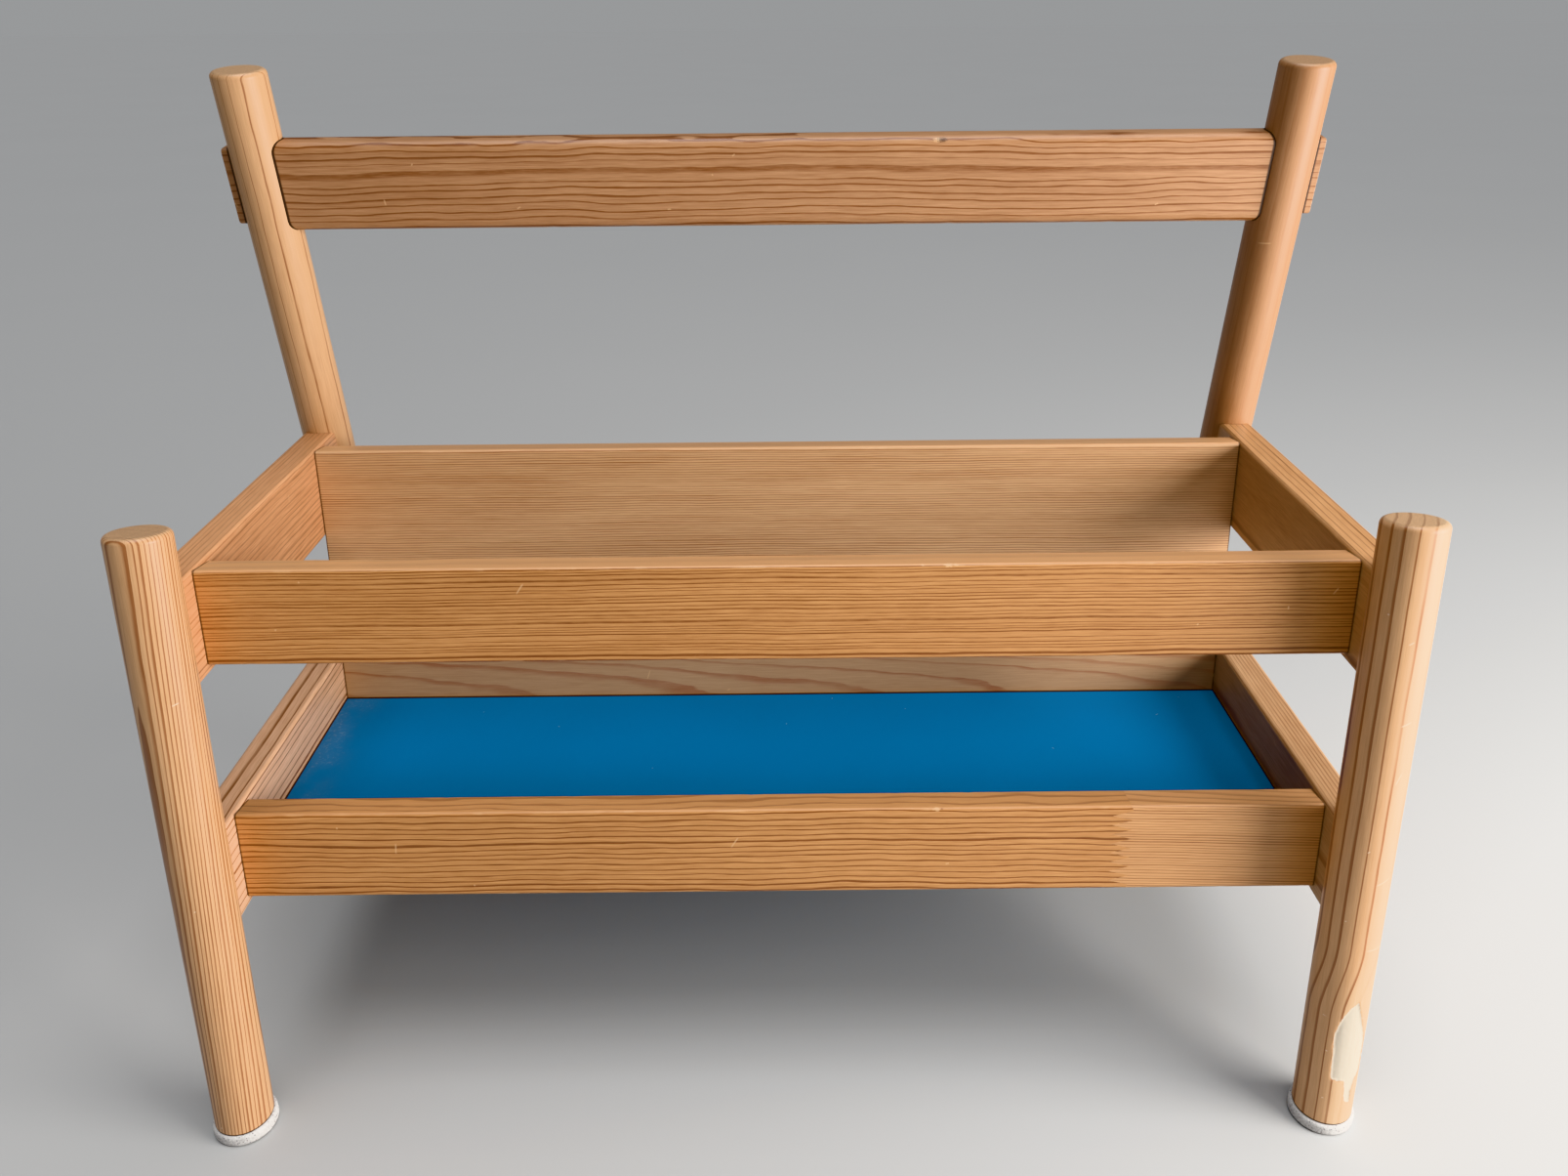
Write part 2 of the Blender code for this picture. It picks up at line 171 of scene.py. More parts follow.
class BOOKDISPLAY_PG_stage(bpy.types.PropertyGroup):
    """Floor, light and camera"""

    floor: colour("Floor", "Colour of the floor", 0.46, 0.46, 0.455)
    horizon: colour("Horizon", "Colour seen beyond the floor", 0.353, 0.359, 0.364)
    key_power: amount("Key power", "Power of the large soft light at the right", 200.0, "POWER")
    key_size: length("Key size", "Width of the soft light at the right", 1.2)
    key_place: position("Key place", "Place of the soft light at the right", 1.50, -0.76, 0.64)
    key_colour: colour("Key colour", "Colour of the soft light at the right", 1.0, 0.97, 0.93)
    top_strength: amount("Top strength", "Strength of the light overhead, in watts per square metre", 2.2)
    top_spread: angle("Top spread", "How wide the light overhead spreads, which softens its shadows", 45.0)
    top_place: position("Top place", "Side that the light overhead comes from", 0.1, -0.1, 2.2)
    top_colour: colour("Top colour", "Colour of the light overhead", 0.97, 0.98, 1.0)
    aim: position("Aim", "Point that both lights face", 0.0, 0.0, 0.25)
    sky_strength: amount("Sky strength", "Strength of the even light from all round", 0.13)
    sky_colour: colour("Sky colour", "Colour of the even light from all round", 0.93, 0.96, 1.0)
    lens: amount("Lens", "Focal length of the camera", 27.34, "CAMERA")
    eye: position("Eye", "Place of the camera", 0.00315, -0.72103, 0.63779)
    tilt: angle("Tilt", "How far the camera looks down", 26.32)
    turn: angle("Turn", "How far the camera looks to the right", 0.0485)
    roll: angle("Roll", "How far the camera is rolled", 0.54)


def settings(kind):
    """One of the scene's groups of settings: sizes, colours or stage."""
    return getattr(bpy.context.scene, SETTINGS_PREFIX + kind)


def tint(name):
    """A colour from the settings, with full opacity."""
    return (*getattr(settings("colours"), name), 1.0)


# Node trees

class Tree:
    """Adds nodes to a node tree and feeds their sockets with values or with other sockets."""

    def __init__(self, tree):
        self.tree = tree

    def feed(self, socket, value):
        """Links a socket to another one, or sets its value."""
        if isinstance(value, bpy.types.NodeSocket):
            self.tree.links.new(value, socket)
        else:
            socket.default_value = value

    def add(self, kind, feeds=None, **options):
        """A new node with its options set and its sockets fed by name."""
        node = self.tree.nodes.new(kind)
        for name, value in options.items():
            setattr(node, name, value)
        for name, value in (feeds or {}).items():
            self.feed(node.inputs[name], value)
        return node

    def step(self, operation, *values, kind="ShaderNodeMath"):
        """One step of arithmetic on single values."""
        node = self.add(kind, operation=operation)
        for socket, value in zip(node.inputs, values):
            self.feed(socket, value)
        return node.outputs[0]

    def plus(self, first, second):
        """The sum of two values."""
        return self.step("ADD", first, second)

    def times(self, first, second, added=0.0):
        """The product of two values, with a third one added."""
        return self.step("MULTIPLY_ADD", first, second, added)

    def between(self, share, low, high):
        """A value that goes from low to high while its share goes from 0 to 1."""
        return self.times(share, high - low, low)

    def ease(self, value, low, high):
        """A soft step from 0 at low to 1 at high."""
        feeds = {"Value": value, "From Min": low, "From Max": high}
        return self.add("ShaderNodeMapRange", feeds, interpolation_type="SMOOTHSTEP").outputs["Result"]

    def vector(self, operation, *values):
        """One step of arithmetic on vectors."""
        return self.step(operation, *values, kind="ShaderNodeVectorMath")

    def scaled(self, vector, share):
        """A vector or colour times a single value."""
        node = self.add("ShaderNodeVectorMath", {"Vector": vector, "Scale": share}, operation="SCALE")
        return node.outputs["Vector"]

    def joined(self, x, y, z):
        """A vector from three single values."""
        return self.add("ShaderNodeCombineXYZ", {"X": x, "Y": y, "Z": z}).outputs["Vector"]

    def parts(self, vector):
        """The three single values of a vector."""
        return self.add("ShaderNodeSeparateXYZ", {"Vector": vector}).outputs

    def noise(self, vector, rate, detail=2.0, roughness=0.5, shift=(0.0, 0.0, 0.0)):
        """Soft random shades, with their rate of change along each axis, moved to a place of their own."""
        placed = self.vector("MULTIPLY_ADD", vector, rate, shift)
        feeds = {"Vector": placed, "Scale": 1.0, "Detail": detail, "Roughness": roughness}
        return self.add("ShaderNodeTexNoise", feeds).outputs

    def mix(self, share, first, second):
        """A colour between two others."""
        node = self.add("ShaderNodeMix", data_type="RGBA")
        # A Mix node's sockets for colours come after those for single values and vectors
        for socket, value in ((0, share), (6, first), (7, second)):
            self.feed(node.inputs[socket], value)
        return node.outputs[2]

    def grouped(self, name, feeds):
        """A node group, with each of its sockets fed from the values given by name."""
        node = self.add("ShaderNodeGroup", node_tree=bpy.data.node_groups[name])
        for socket in node.inputs:
            self.feed(socket, feeds[socket.name])
        return node.outputs


class Finish:
    """A material in the making, with the vector that its patterns lie on in a piece's own axes."""

    def __init__(self, name, place=Matrix.Identity(4)):
        self.material = bpy.data.materials.new(name)
        self.material.use_nodes = True
        self.material.node_tree.nodes.clear()
        self.tree = Tree(self.material.node_tree)
        shader = self.tree.add("ShaderNodeBsdfPrincipled")
        surface = self.tree.add("ShaderNodeOutputMaterial", {"Surface": shader.outputs["BSDF"]})
        surface.is_active_output = True
        self.shader = shader.inputs
        self.point = self.tree.add("ShaderNodeTexCoord").outputs["Object"]
        feeds = {"Vector": self.point, "Location": place.to_translation(), "Rotation": place.to_euler()}
        self.vector = self.tree.add("ShaderNodeMapping", feeds, vector_type="TEXTURE").outputs["Vector"]

    def shade(self, feeds):
        """Feeds the shader's sockets by name."""
        for name, value in feeds.items():
            self.tree.feed(self.shader[name], value)

    def fed_by(self, name):
        """What feeds one of the shader's sockets so far."""
        return self.shader[name].links[0].from_socket

    def paint(self, share, over):
        """Mixes another colour over the base colour."""
        self.shade({"Base Color": self.tree.mix(share, self.fed_by("Base Color"), over)})

    def cover(self, name, feeds):
        """Passes the base colour through a node group."""
        feeds = feeds | {"Vector": self.vector, "Color": self.fed_by("Base Color")}
        self.shade({"Base Color": self.tree.grouped(name, feeds)["Color"]})

    def dirty(self, distance, width):
        """Lays a painted shadow line along a joint, given where it begins and where it is full."""
        faint, full = width
        feeds = {"Distance": distance, "Faint": faint, "Full": full, "Grime": tint("grime")}
        self.cover("Dirt line", feeds)

    def clouded(self, colour, clouds):
        """A colour with clouds of tone in it, and the clouds themselves."""
        return self.tree.grouped("Clouded tone", clouds | {"Vector": self.vector, "Color": colour})

    def emboss(self, height, strength, distance):
        """Gives the surface a fine relief."""
        feeds = {"Height": height, "Strength": strength, "Distance": distance}
        self.shade({"Normal": self.tree.add("ShaderNodeBump", feeds).outputs["Normal"]})


def new_group(name, inputs, outputs):
    """An empty node group, with the sockets that lead into it and out of it, named by their kind."""
    tree = bpy.data.node_groups.new(name, "ShaderNodeTree")
    for direction, sockets in (("INPUT", inputs), ("OUTPUT", outputs)):
        for kind, names in sockets.items():
            for socket in names:
                tree.interface.new_socket(name=socket, in_out=direction, socket_type="NodeSocket" + kind)
    entry = tree.nodes.new("NodeGroupInput").outputs
    leave = tree.nodes.new("NodeGroupOutput").inputs
    return Tree(tree), entry, leave


# Painted shadow lines and clouds

def shadow_line_group():
    """A painted shadow line along a joint, by the distance from it."""
    tree, given, out = new_group(
        "Dirt line",
        {"Color": ("Color", "Grime"), "Float": ("Distance", "Faint", "Full")},
        {"Color": ("Color",)})
    line = tree.ease(given["Distance"], given["Faint"], given["Full"])
    tree.feed(out["Color"], tree.mix(line, given["Color"], given["Grime"]))


def cloud_group():
    """Clouds of tone in a colour, with the shares of it that show in clear places and in clouded ones."""
    tree, given, out = new_group(
        "Clouded tone",
        {"Vector": ("Vector", "Rate"), "Color": ("Color",), "Float": ("Detail", "Clear", "Clouded")},
        {"Color": ("Color",), "Float": ("Cloud",)})
    cloud = tree.noise(given["Vector"], given["Rate"], given["Detail"])["Fac"]
    feeds = {"Value": cloud, "To Min": given["Clear"], "To Max": given["Clouded"]}
    share = tree.add("ShaderNodeMapRange", feeds).outputs["Result"]
    tree.feed(out["Color"], tree.scaled(given["Color"], share))
    tree.feed(out["Cloud"], cloud)


# Pine

# Rates at which the wood changes, in noise cells to a metre: along the grain, and twice across it
BEND_RATE_ACROSS = 9.0
WAVE_RATE = (17.0, 40.0, 40.0)
RIPPLE_RATE = (45.0, 260.0, 260.0)
FADE_RATE = (14.0, 90.0, 90.0)
BREAK_RATE = (110.0, 1300.0, 1300.0)
STRAND_RATE = (55.0, 1500.0, 1500.0)
STREAK_RATE = (16.0, 380.0, 380.0)
TONE_RATE = (5.0, 40.0, 40.0)
YEAR_RATE = (0.31, 1.0, 1.0)  # of spells of wide and narrow years, in cells to a year
SEED_STRIDE = 3.7  # sets the noise of one piece apart from that of the next
YEAR_SPREAD = 2.2  # years by which a spell moves the rings
HALF = (0.5, 0.5, 0.5)
WHOLE = (1.0, 1.0, 1.0)

# Tones of the wood, as shares
LATE_CHANCE = (0.6, 1.4)  # of the usual late wood, in the leanest year and in the fullest
LATE_FULL = 0.65  # of the late wood's own width, where it is darkest
LATE_END = 0.965  # of a ring, where the late wood begins to end
CLEAR_PATCHES = (0.2, 0.75)  # of the noise, where rings begin to be clear and where they are clearest
CLEAR_STRENGTH = (0.6, 1.15)  # of the rings, in a faint patch and in a clear one
FAINTEST_YEAR = -0.5  # added to the rings' strength in the faintest year
BREAK_REACH = 1.1  # of the rings' strength, by which their lines break up
EARLY_DARKENING = 0.06  # of the rings' contrast, reached evenly across each ring
STREAK_SHARE = 0.33  # of a broad streak against a fine strand
TONE_REACH = 0.35  # of the slow changes of tone
LIFT = (0.75, 1.0, 1.2)  # how a lighter tone shows in red, green and blue
SAP_EDGE = 0.009  # metres over which heartwood turns to sapwood
SAP_LINES = 0.2  # of the rings' strength is left in sapwood
WOOD_ROUGHNESS = (0.44, 0.36)  # in early wood and in late wood


def pine_group():
    """Growth rings round a pith that runs along X, cut by the surface wherever it lies."""
    tree, given, out = new_group(
        "Pine figure",
        {"Vector": ("Vector", "Pith"), "Color": ("Early", "Late", "Sap"),
         "Float": ("Ring Width", "Wander", "Wander Length", "Wave", "Ripple", "Slope", "Late Share",
                   "Contrast", "Fibre", "Sap Start", "Uneven", "Twist", "Kink", "Kink From", "Kink To",
                   "Seed")},
        {"Color": ("Color",), "Float": ("Relief", "Roughness")})
    shift = tree.joined(given["Seed"], tree.times(given["Seed"], SEED_STRIDE), 0.0)

    def shade(rate, detail, roughness=0.5):
        """Noise drawn out along the grain, in a place of its own for each seed."""
        return tree.noise(given["Vector"], rate, detail, roughness, shift)

    def swing(rate, detail, reach, roughness=0.5):
        """Noise that swings to both sides of nothing, by half its reach at most."""
        return tree.times(tree.plus(shade(rate, detail, roughness)["Fac"], -0.5), reach)

    # The trunk twists and bends slowly, waves run through neighbouring rings, and each ring has ripples
    spiral = tree.times(tree.parts(given["Vector"])["X"], given["Twist"])
    turned = tree.add("ShaderNodeVectorRotate", {"Vector": given["Vector"], "Angle": spiral},
                      rotation_type="X_AXIS")
    place = tree.vector("SUBTRACT", turned.outputs["Vector"], given["Pith"])
    bend_rate = tree.step("DIVIDE", 1.0, given["Wander Length"])
    bend_rate = tree.joined(bend_rate, BEND_RATE_ACROSS, BEND_RATE_ACROSS)
    for rate, reach in ((bend_rate, "Wander"), (WAVE_RATE, "Wave"), (RIPPLE_RATE, "Ripple")):
        push = tree.vector("SUBTRACT", shade(rate, 1.5)["Color"], HALF)
        place = tree.vector("ADD", place, tree.scaled(push, given[reach]))

    # A kink moves the rings sideways over a short stretch of the trunk
    x, y, z = tree.parts(place)
    below = tree.ease(x, given["Kink To"], given["Kink From"])
    y = tree.times(below, given["Kink"], y)

    # Rings are counted outward from the pith, and some years are wider than others
    reach = tree.step("SQRT", tree.plus(tree.times(y, y), tree.times(z, z)))
    reach = tree.times(x, given["Slope"], reach)
    years = tree.step("DIVIDE", reach, given["Ring Width"])
    spell = tree.noise(tree.joined(years, given["Seed"], 0.0), YEAR_RATE, 1.0)["Fac"]
    years = tree.times(spell, tree.times(given["Uneven"], YEAR_SPREAD), years)
    part = tree.step("FRACT", years)
    year = tree.joined(tree.step("FLOOR", years), given["Seed"], 0.0)
    chance = tree.parts(tree.add("ShaderNodeTexWhiteNoise", {"Vector": year}).outputs["Color"])

    # Late wood darkens over its share of the ring and ends sharply, more strongly in some years and places
    share = tree.times(given["Late Share"], tree.between(chance["X"], *LATE_CHANCE))
    rise = tree.step("SUBTRACT", 1.0, share)
    line = tree.ease(part, rise, tree.between(share, 1.0, LATE_FULL))
    line = tree.times(line, tree.ease(part, 1.0, LATE_END))
    strength = tree.times(chance["Y"], tree.times(given["Uneven"], FAINTEST_YEAR), 1.0)
    clear = tree.ease(shade(FADE_RATE, 2.0)["Fac"], *CLEAR_PATCHES)
    strength = tree.times(strength, tree.between(clear, *CLEAR_STRENGTH))
    broken = tree.times(swing(BREAK_RATE, 2.0, BREAK_REACH, 0.6), given["Uneven"], 1.0)
    strength = tree.times(strength, broken)
    line = tree.times(tree.times(line, strength), given["Contrast"])
    line = tree.times(part, tree.times(given["Contrast"], EARLY_DARKENING), line)

    # Sapwood is paler, with fainter rings, and fibres and slow changes of tone run along the grain
    strand = swing(STRAND_RATE, 3.0, given["Fibre"], 0.6)
    streak = swing(STREAK_RATE, 2.0, given["Fibre"])
    lift = tree.plus(tree.times(streak, STREAK_SHARE, strand), swing(TONE_RATE, 2.0, TONE_REACH))
    sap = tree.ease(reach, given["Sap Start"], tree.plus(given["Sap Start"], SAP_EDGE))
    line = tree.times(line, tree.between(sap, 1.0, SAP_LINES))
    early = tree.mix(sap, given["Early"], given["Sap"])
    wood = tree.mix(tree.step("MINIMUM", line, 1.0), early, given["Late"])
    lifted = tree.vector("MULTIPLY_ADD", tree.joined(lift, lift, lift), LIFT, WHOLE)
    tree.feed(out["Color"], tree.vector("MULTIPLY", wood, lifted))
    tree.feed(out["Relief"], strand)
    tree.feed(out["Roughness"], tree.between(tree.plus(line, strand), *WOOD_ROUGHNESS))


# Depths under a board's outline, in metres, where each effect begins and where it is full
EDGE_WEAR = (0.0022, 0.0006)
# Painted top light: depths where the top face begins to be painted paler and where it is fully paler
LIT_TOP = (0.0014, 0.0003)
# Painted shade in the joints at a board's ends, partly glue and dirt
JOINT_DIRT_AND_SHADE = (0.0011, 0.0002)
WEAR_RATE = (70.0, 200.0, 200.0)  # noise cells to a metre
WEAR_PATCHES = (0.5, 0.72)  # of the noise, where wear begins and where it is full


def wear_and_painted_light_group():
    """Bare wood along a board's rounded edges, a top face painted paler as painted top light, and joints at
    its ends darkened with painted shade, partly glue and dirt.
    """
    tree, given, out = new_group(
        "Worn edges",
        {"Vector": ("Vector", "Half Size"), "Color": ("Color", "Worn", "Toplit", "Grime"),
         "Float": ("Wear", "Top Fade", "Joint Dirt", "Seed")},
        {"Color": ("Color",)})
    depth = tree.vector("SUBTRACT", given["Half Size"], tree.vector("ABSOLUTE", given["Vector"]))
    end, side, face = tree.parts(depth)
    edge = tree.ease(tree.step("MAXIMUM", side, face), *EDGE_WEAR)
    patch = tree.noise(given["Vector"], WEAR_RATE, 3.0, shift=tree.joined(given["Seed"], 0.0, 0.0))["Fac"]
    worn = tree.times(tree.times(edge, tree.ease(patch, *WEAR_PATCHES)), given["Wear"])
    # Joints at the board's ends are darkened: painted shade in the gap, partly glue and dirt
    joint = tree.times(tree.ease(end, *JOINT_DIRT_AND_SHADE), given["Joint Dirt"])
    above = tree.parts(tree.vector("SUBTRACT", given["Half Size"], given["Vector"]))["Z"]
    # Painted top light: the top face is mixed toward the paler toplit colour
    top = tree.times(tree.ease(above, *LIT_TOP), given["Top Fade"])
    shade = tree.mix(top, given["Color"], given["Toplit"])
    shade = tree.mix(worn, shade, given["Worn"])
    tree.feed(out["Color"], tree.mix(joint, shade, given["Grime"]))


# Handling marks, measured in their spacing
MARK_SHIFT = (31.7, 17.3, 0.0)  # moves the marks of each seed to a place of their own
MARK_TURN = 2.4  # most that a mark is turned, in radians
MARK_LEAST = 0.02  # half the length of the shortest mark
MARK_WIDTH = (0.018, 0.008)  # half the width of a mark, at its faint rim and at its full tone
MARK_TONE = 0.5


def marks_group():
    """Sparse pale scratches and dots on a handled surface, laid out by two coordinates of it."""
    tree, given, out = new_group(
        "Handling marks",
        {"Color": ("Color", "Mark"),
         "Float": ("Along", "Across", "Amount", "Mark Length", "Mark Spacing", "Seed")},
        {"Color": ("Color",), "Float": ("Dent",)})
    along = tree.step("DIVIDE", given["Along"], given["Mark Spacing"])
    across = tree.step("DIVIDE", given["Across"], given["Mark Spacing"])
    spread = tree.vector("ADD", tree.joined(along, across, 0.0), tree.scaled(MARK_SHIFT, given["Seed"]))
    cell = tree.add("ShaderNodeTexVoronoi", {"Vector": spread, "Scale": 1.0}, voronoi_dimensions="2D")
    x, y, _ = tree.parts(tree.vector("SUBTRACT", spread, cell.outputs["Position"]))
    chance = tree.parts(cell.outputs["Color"])
    turn = tree.times(chance["X"], MARK_TURN)
    cosine = tree.step("COSINE", turn)
    sine = tree.step("SINE", turn)
    lengthwise = tree.step("ABSOLUTE", tree.times(y, sine, tree.times(x, cosine)))
    crosswise = tree.step("ABSOLUTE", tree.step("SUBTRACT", tree.times(y, cosine), tree.times(x, sine)))
    size = tree.times(tree.step("POWER", chance["Y"], 3.0), given["Mark Length"], MARK_LEAST)
    stroke = tree.ease(lengthwise, size, tree.times(size, 0.5))
    stroke = tree.times(stroke, tree.ease(crosswise, *MARK_WIDTH))
    stroke = tree.times(stroke, tree.step("LESS_THAN", chance["Z"], given["Amount"]))
    tree.feed(out["Color"], tree.mix(tree.times(stroke, MARK_TONE), given["Color"], given["Mark"]))
    tree.feed(out["Dent"], stroke)


MARK_SPACING = 0.0357  # metres
MARK_MARGIN = (0.002, 0.004)  # depths from a board's edge where marks begin and where all of them show
LACQUER = {"Specular IOR Level": 0.45, "Coat Weight": 0.1, "Coat Roughness": 0.25}


@dataclass(frozen=True)
class Figure:
    """How the growth rings lie in one length of wood, with X along the grain, how it has worn, and how much
    painted top light and joint shade it gets.

    Lengths are in metres. The fields are named for the sockets of the node groups that they feed.
    """

    pith: tuple
    ring_width: float
    wander: float = 0.004
    wander_length: float = 0.40
    wave: float = 0.0015
    ripple: float = 0.0005
    slope: float = 0.0
    late_share: float = 0.35
    contrast: float = 0.85
    fibre: float = 0.9
    early: str = "honey"
    late: str = "brown"
    sap_start: float = 1.0
    uneven: float = 1.0
    twist: float = 0.0
    kink: float = 0.0
    kink_from: float = 0.0
    kink_to: float = 1.0
    wear: float = 0.25
    # share of painted top light on the top face
    top_fade: float = 0.7
    # share of painted shade, partly glue and dirt, in the joints at the board's ends
    joint_dirt: float = 0.8
    marks: float = 0.15
    mark: str = "worn"
    mark_length: float = 0.12
    mark_spacing: float = MARK_SPACING
    round_stock: bool = False
    seed: float = 0.0


post_figure = partial(Figure, early="straw", late="russet", fibre=0.5, top_fade=0.0, joint_dirt=0.0,
                      round_stock=True)
front_post_figure = partial(post_figure, mark="scuffed", mark_spacing=0.025)
end_rail_figure = partial(Figure, top_fade=0.1, joint_dirt=0.0)
FIGURES = {
    "front_left_post": front_post_figure(
        pith=(-0.0772, -0.0289), ring_width=0.0021, wander=0.0015, wave=0.0008, ripple=0.0003, slope=0.006,
        late_share=0.55, contrast=1.15, uneven=0.15, twist=-2.52, marks=0.3, seed=1.0),
    "front_right_post": front_post_figure(
        pith=(-0.10, 0.055), ring_width=0.00662, wander=0.003, late_share=0.26, contrast=1.4, uneven=0.0,
        kink=0.007, kink_from=0.083, kink_to=0.132, sap_start=0.121, marks=0.7, mark_length=0.3, seed=2.0),
    "rear_left_post": post_figure(
        pith=(0.10, -0.08), ring_width=0.0052, late_share=0.18, contrast=1.2, seed=3.0),
    # Its early wood is amber, darker than the straw of the other posts: painted shade
    "rear_right_post": post_figure(
        pith=(-0.02, -0.12), ring_width=0.0050, late_share=0.3, contrast=0.5, early="amber", seed=4.0),
    "upper_front_rail": Figure(
        pith=(0.06, 0.28), ring_width=0.0022, wave=0.002, slope=0.003, late_share=0.45, contrast=1.8,
        uneven=1.4, wear=0.4, seed=5.0),
    "lower_front_rail_long": Figure(
        pith=(0.06, 0.20), ring_width=0.0035, wander=0.012, wander_length=0.3, wave=0.0045, ripple=0.0012,
        late_share=0.32, contrast=2.2, wear=0.4, top_fade=0.35, seed=6.0),
    "lower_front_rail_short": Figure(
        pith=(0.08, 0.30), ring_width=0.0017, slope=-0.03, late_share=0.45, fibre=0.5, uneven=0.6,
        early="wheat", top_fade=0.35, seed=7.0),
    "upper_back_board": Figure(
        pith=(0.10, -0.40), ring_width=0.0017, slope=0.002, late_share=0.5, contrast=0.9, fibre=0.5,
        uneven=0.5, early="tan", late="russet", seed=8.0),
    # Its early wood is shaded tan, painted shade
    "lower_back_rail": Figure(
        pith=(-0.09, -0.012), ring_width=0.00325, wander=0.003, wander_length=0.2, wave=0.0018,
        ripple=0.0008, slope=0.027, contrast=0.95, fibre=0.45, early="dun", late="rust", seed=9.0),
    "top_rail": Figure(
        pith=(0.02, -0.1475), ring_width=0.0049, wander=0.012, wave=0.006, ripple=0.0014, late_share=0.34,
        contrast=2.0, uneven=1.4, early="amber", wear=0.1, top_fade=0.0, joint_dirt=0.0, marks=0.3,
        seed=10.0),
    "upper_left_end_rail": end_rail_figure(
        pith=(0.16, 0.16), ring_width=0.0026, late_share=0.34, contrast=0.8, early="rose", top_fade=0.25,
        seed=11.0),
    "upper_right_end_rail": end_rail_figure(
        pith=(0.2512, 0.01), ring_width=0.0045, wander=0.0016, wave=0.0012, ripple=0.0004, uneven=0.0,
        late_share=0.25, contrast=0.9, early="wheat", seed=12.0),
    "lower_left_end_rail": end_rail_figure(
        pith=(0.12, 0.20), ring_width=0.0048, late_share=0.3, contrast=1.2, early="ash", seed=13.0),
    # Its early wood is shaded tan, painted shade
    "lower_right_end_rail": end_rail_figure(
        pith=(0.2438, 0.02), ring_width=0.0026, wander=0.001, wave=0.0006, ripple=0.0003, uneven=0.0,
        late_share=0.45, contrast=0.7, early="dun", seed=14.0),
}


def wood_finish(name, place, half):
    """Lacquered pine with the figure of one piece, whose grain runs along the X axis of its place."""
    figure = FIGURES[name]
    finish = Finish(name + "_pine", place)
    tree = finish.tree
    x, y, z = tree.parts(finish.vector)
    across = y if figure.round_stock else z
    inside = tree.ease(tree.step("ABSOLUTE", across), *(half.z - margin for margin in MARK_MARGIN))
    feeds = {field.name.replace("_", " ").title(): getattr(figure, field.name) for field in fields(figure)}
    feeds |= {socket: tint(getattr(figure, socket.lower())) for socket in ("Early", "Late", "Mark")}
    feeds |= {socket: tint(socket.lower()) for socket in ("Sap", "Worn", "Toplit", "Grime")}
    feeds |= {"Vector": finish.vector, "Half Size": half, "Pith": (0.0, *figure.pith), "Along": x,
              "Across": across, "Amount": tree.times(inside, figure.marks)}
    pine = tree.grouped("Pine figure", feeds)
    worn = tree.grouped("Worn edges", feeds | {"Color": pine["Color"]})
    marked = tree.grouped("Handling marks", feeds | {"Color": worn["Color"]})
    finish.shade(LACQUER | {"Base Color": marked["Color"], "Roughness": pine["Roughness"]})
    finish.emboss(tree.step("SUBTRACT", pine["Relief"], marked["Dent"]), strength=0.3, distance=0.0002)
    return finish


@dataclass(frozen=True)
class Nick:
    """A small torn place on the upper front edge of a board, in metres."""

    along: float
    reach: float
    tone: str = "worn"


NICKS = {
    "upper_front_rail": (Nick(0.0820, 0.0010), Nick(0.0968, 0.0021), Nick(0.1008, 0.0013)),
    "lower_front_rail_long": (Nick(0.0948, 0.0020), Nick(0.0980, 0.0008, "brown")),
    "top_rail": (Nick(0.1068, 0.0027), Nick(0.1100, 0.0032, "grime")),
}
NICK_RATE = (700.0, 1400.0, 1400.0)  # noise cells to a metre
NICK_SHAPE = (1.0, 0.6, 0.6)  # how far it goes along, across and up the board, as shares of its reach
NICK_RAGGED = 4.0  # share of its reach by which its outline wanders
NICK_RIM = (3.2, 2.6)  # shares of its reach, wandering included, where it begins and where it is full
NICK_TONE = 0.75


def nick_group():
    """A small torn place with a ragged outline, about one point of a board."""
    tree, given, out = new_group(
        "Torn nick",
        {"Vector": ("Vector", "Place"), "Color": ("Color", "Tone"), "Float": ("Reach",)},
        {"Color": ("Color",)})
    ragged = tree.noise(given["Vector"], NICK_RATE, 3.0, 0.7)["Fac"]
    apart = tree.vector("SUBTRACT", given["Vector"], given["Place"])
    apart = tree.vector("DIVIDE", apart, tree.scaled(NICK_SHAPE, given["Reach"]))
    apart = tree.add("ShaderNodeVectorMath", {"Vector": apart}, operation="LENGTH").outputs["Value"]
    torn = tree.ease(tree.times(ragged, NICK_RAGGED, apart), *NICK_RIM)
    tree.feed(out["Color"], tree.mix(tree.times(torn, NICK_TONE), given["Color"], given["Tone"]))


def nicked_edge(finish, name, half, radius):
    """Small torn places on the rounded upper front edge of a board."""
    corner = radius * (1.0 - math.sqrt(0.5))
    for nick in NICKS.get(name, ()):
        place = (nick.along, corner - half.y, half.z - corner)
        finish.cover("Torn nick", {"Place": place, "Tone": tint(nick.tone), "Reach": nick.reach})


# Shapes

def lean_turn(row):
    """Axes that lean with the front posts or with the rear ones."""
    return Matrix.Rotation(ROWS[row] * settings("sizes").lean, 4, "X")


def box_in(node, turn):
    """Centre and size of a node's shape, measured in turned axes."""
    back = turn.inverted()
    points = [back @ vertex.co for vertex in frame["nodes"][node].data.vertices]
    low = Vector(map(min, *points))
    high = Vector(map(max, *points))
    return (low + high) / 2, high - low


def board_place(node, turn=Matrix.Identity(4)):
    """Where a board lies, as a matrix from its own axes, and its size."""
    centre, size = box_in(node, turn)
    return turn @ Matrix.Translation(centre), size


def everything(bm):
    """All the vertices, edges and faces of a shape."""
    return [*bm.verts, *bm.edges, *bm.faces]


def edges_along(bm, axis):
    """Edges that run along an axis, which is 0, 1 or 2 for X, Y or Z."""
    return [e for e in bm.edges if abs((e.verts[0].co - e.verts[1].co).normalized()[axis]) > ALIGNED]


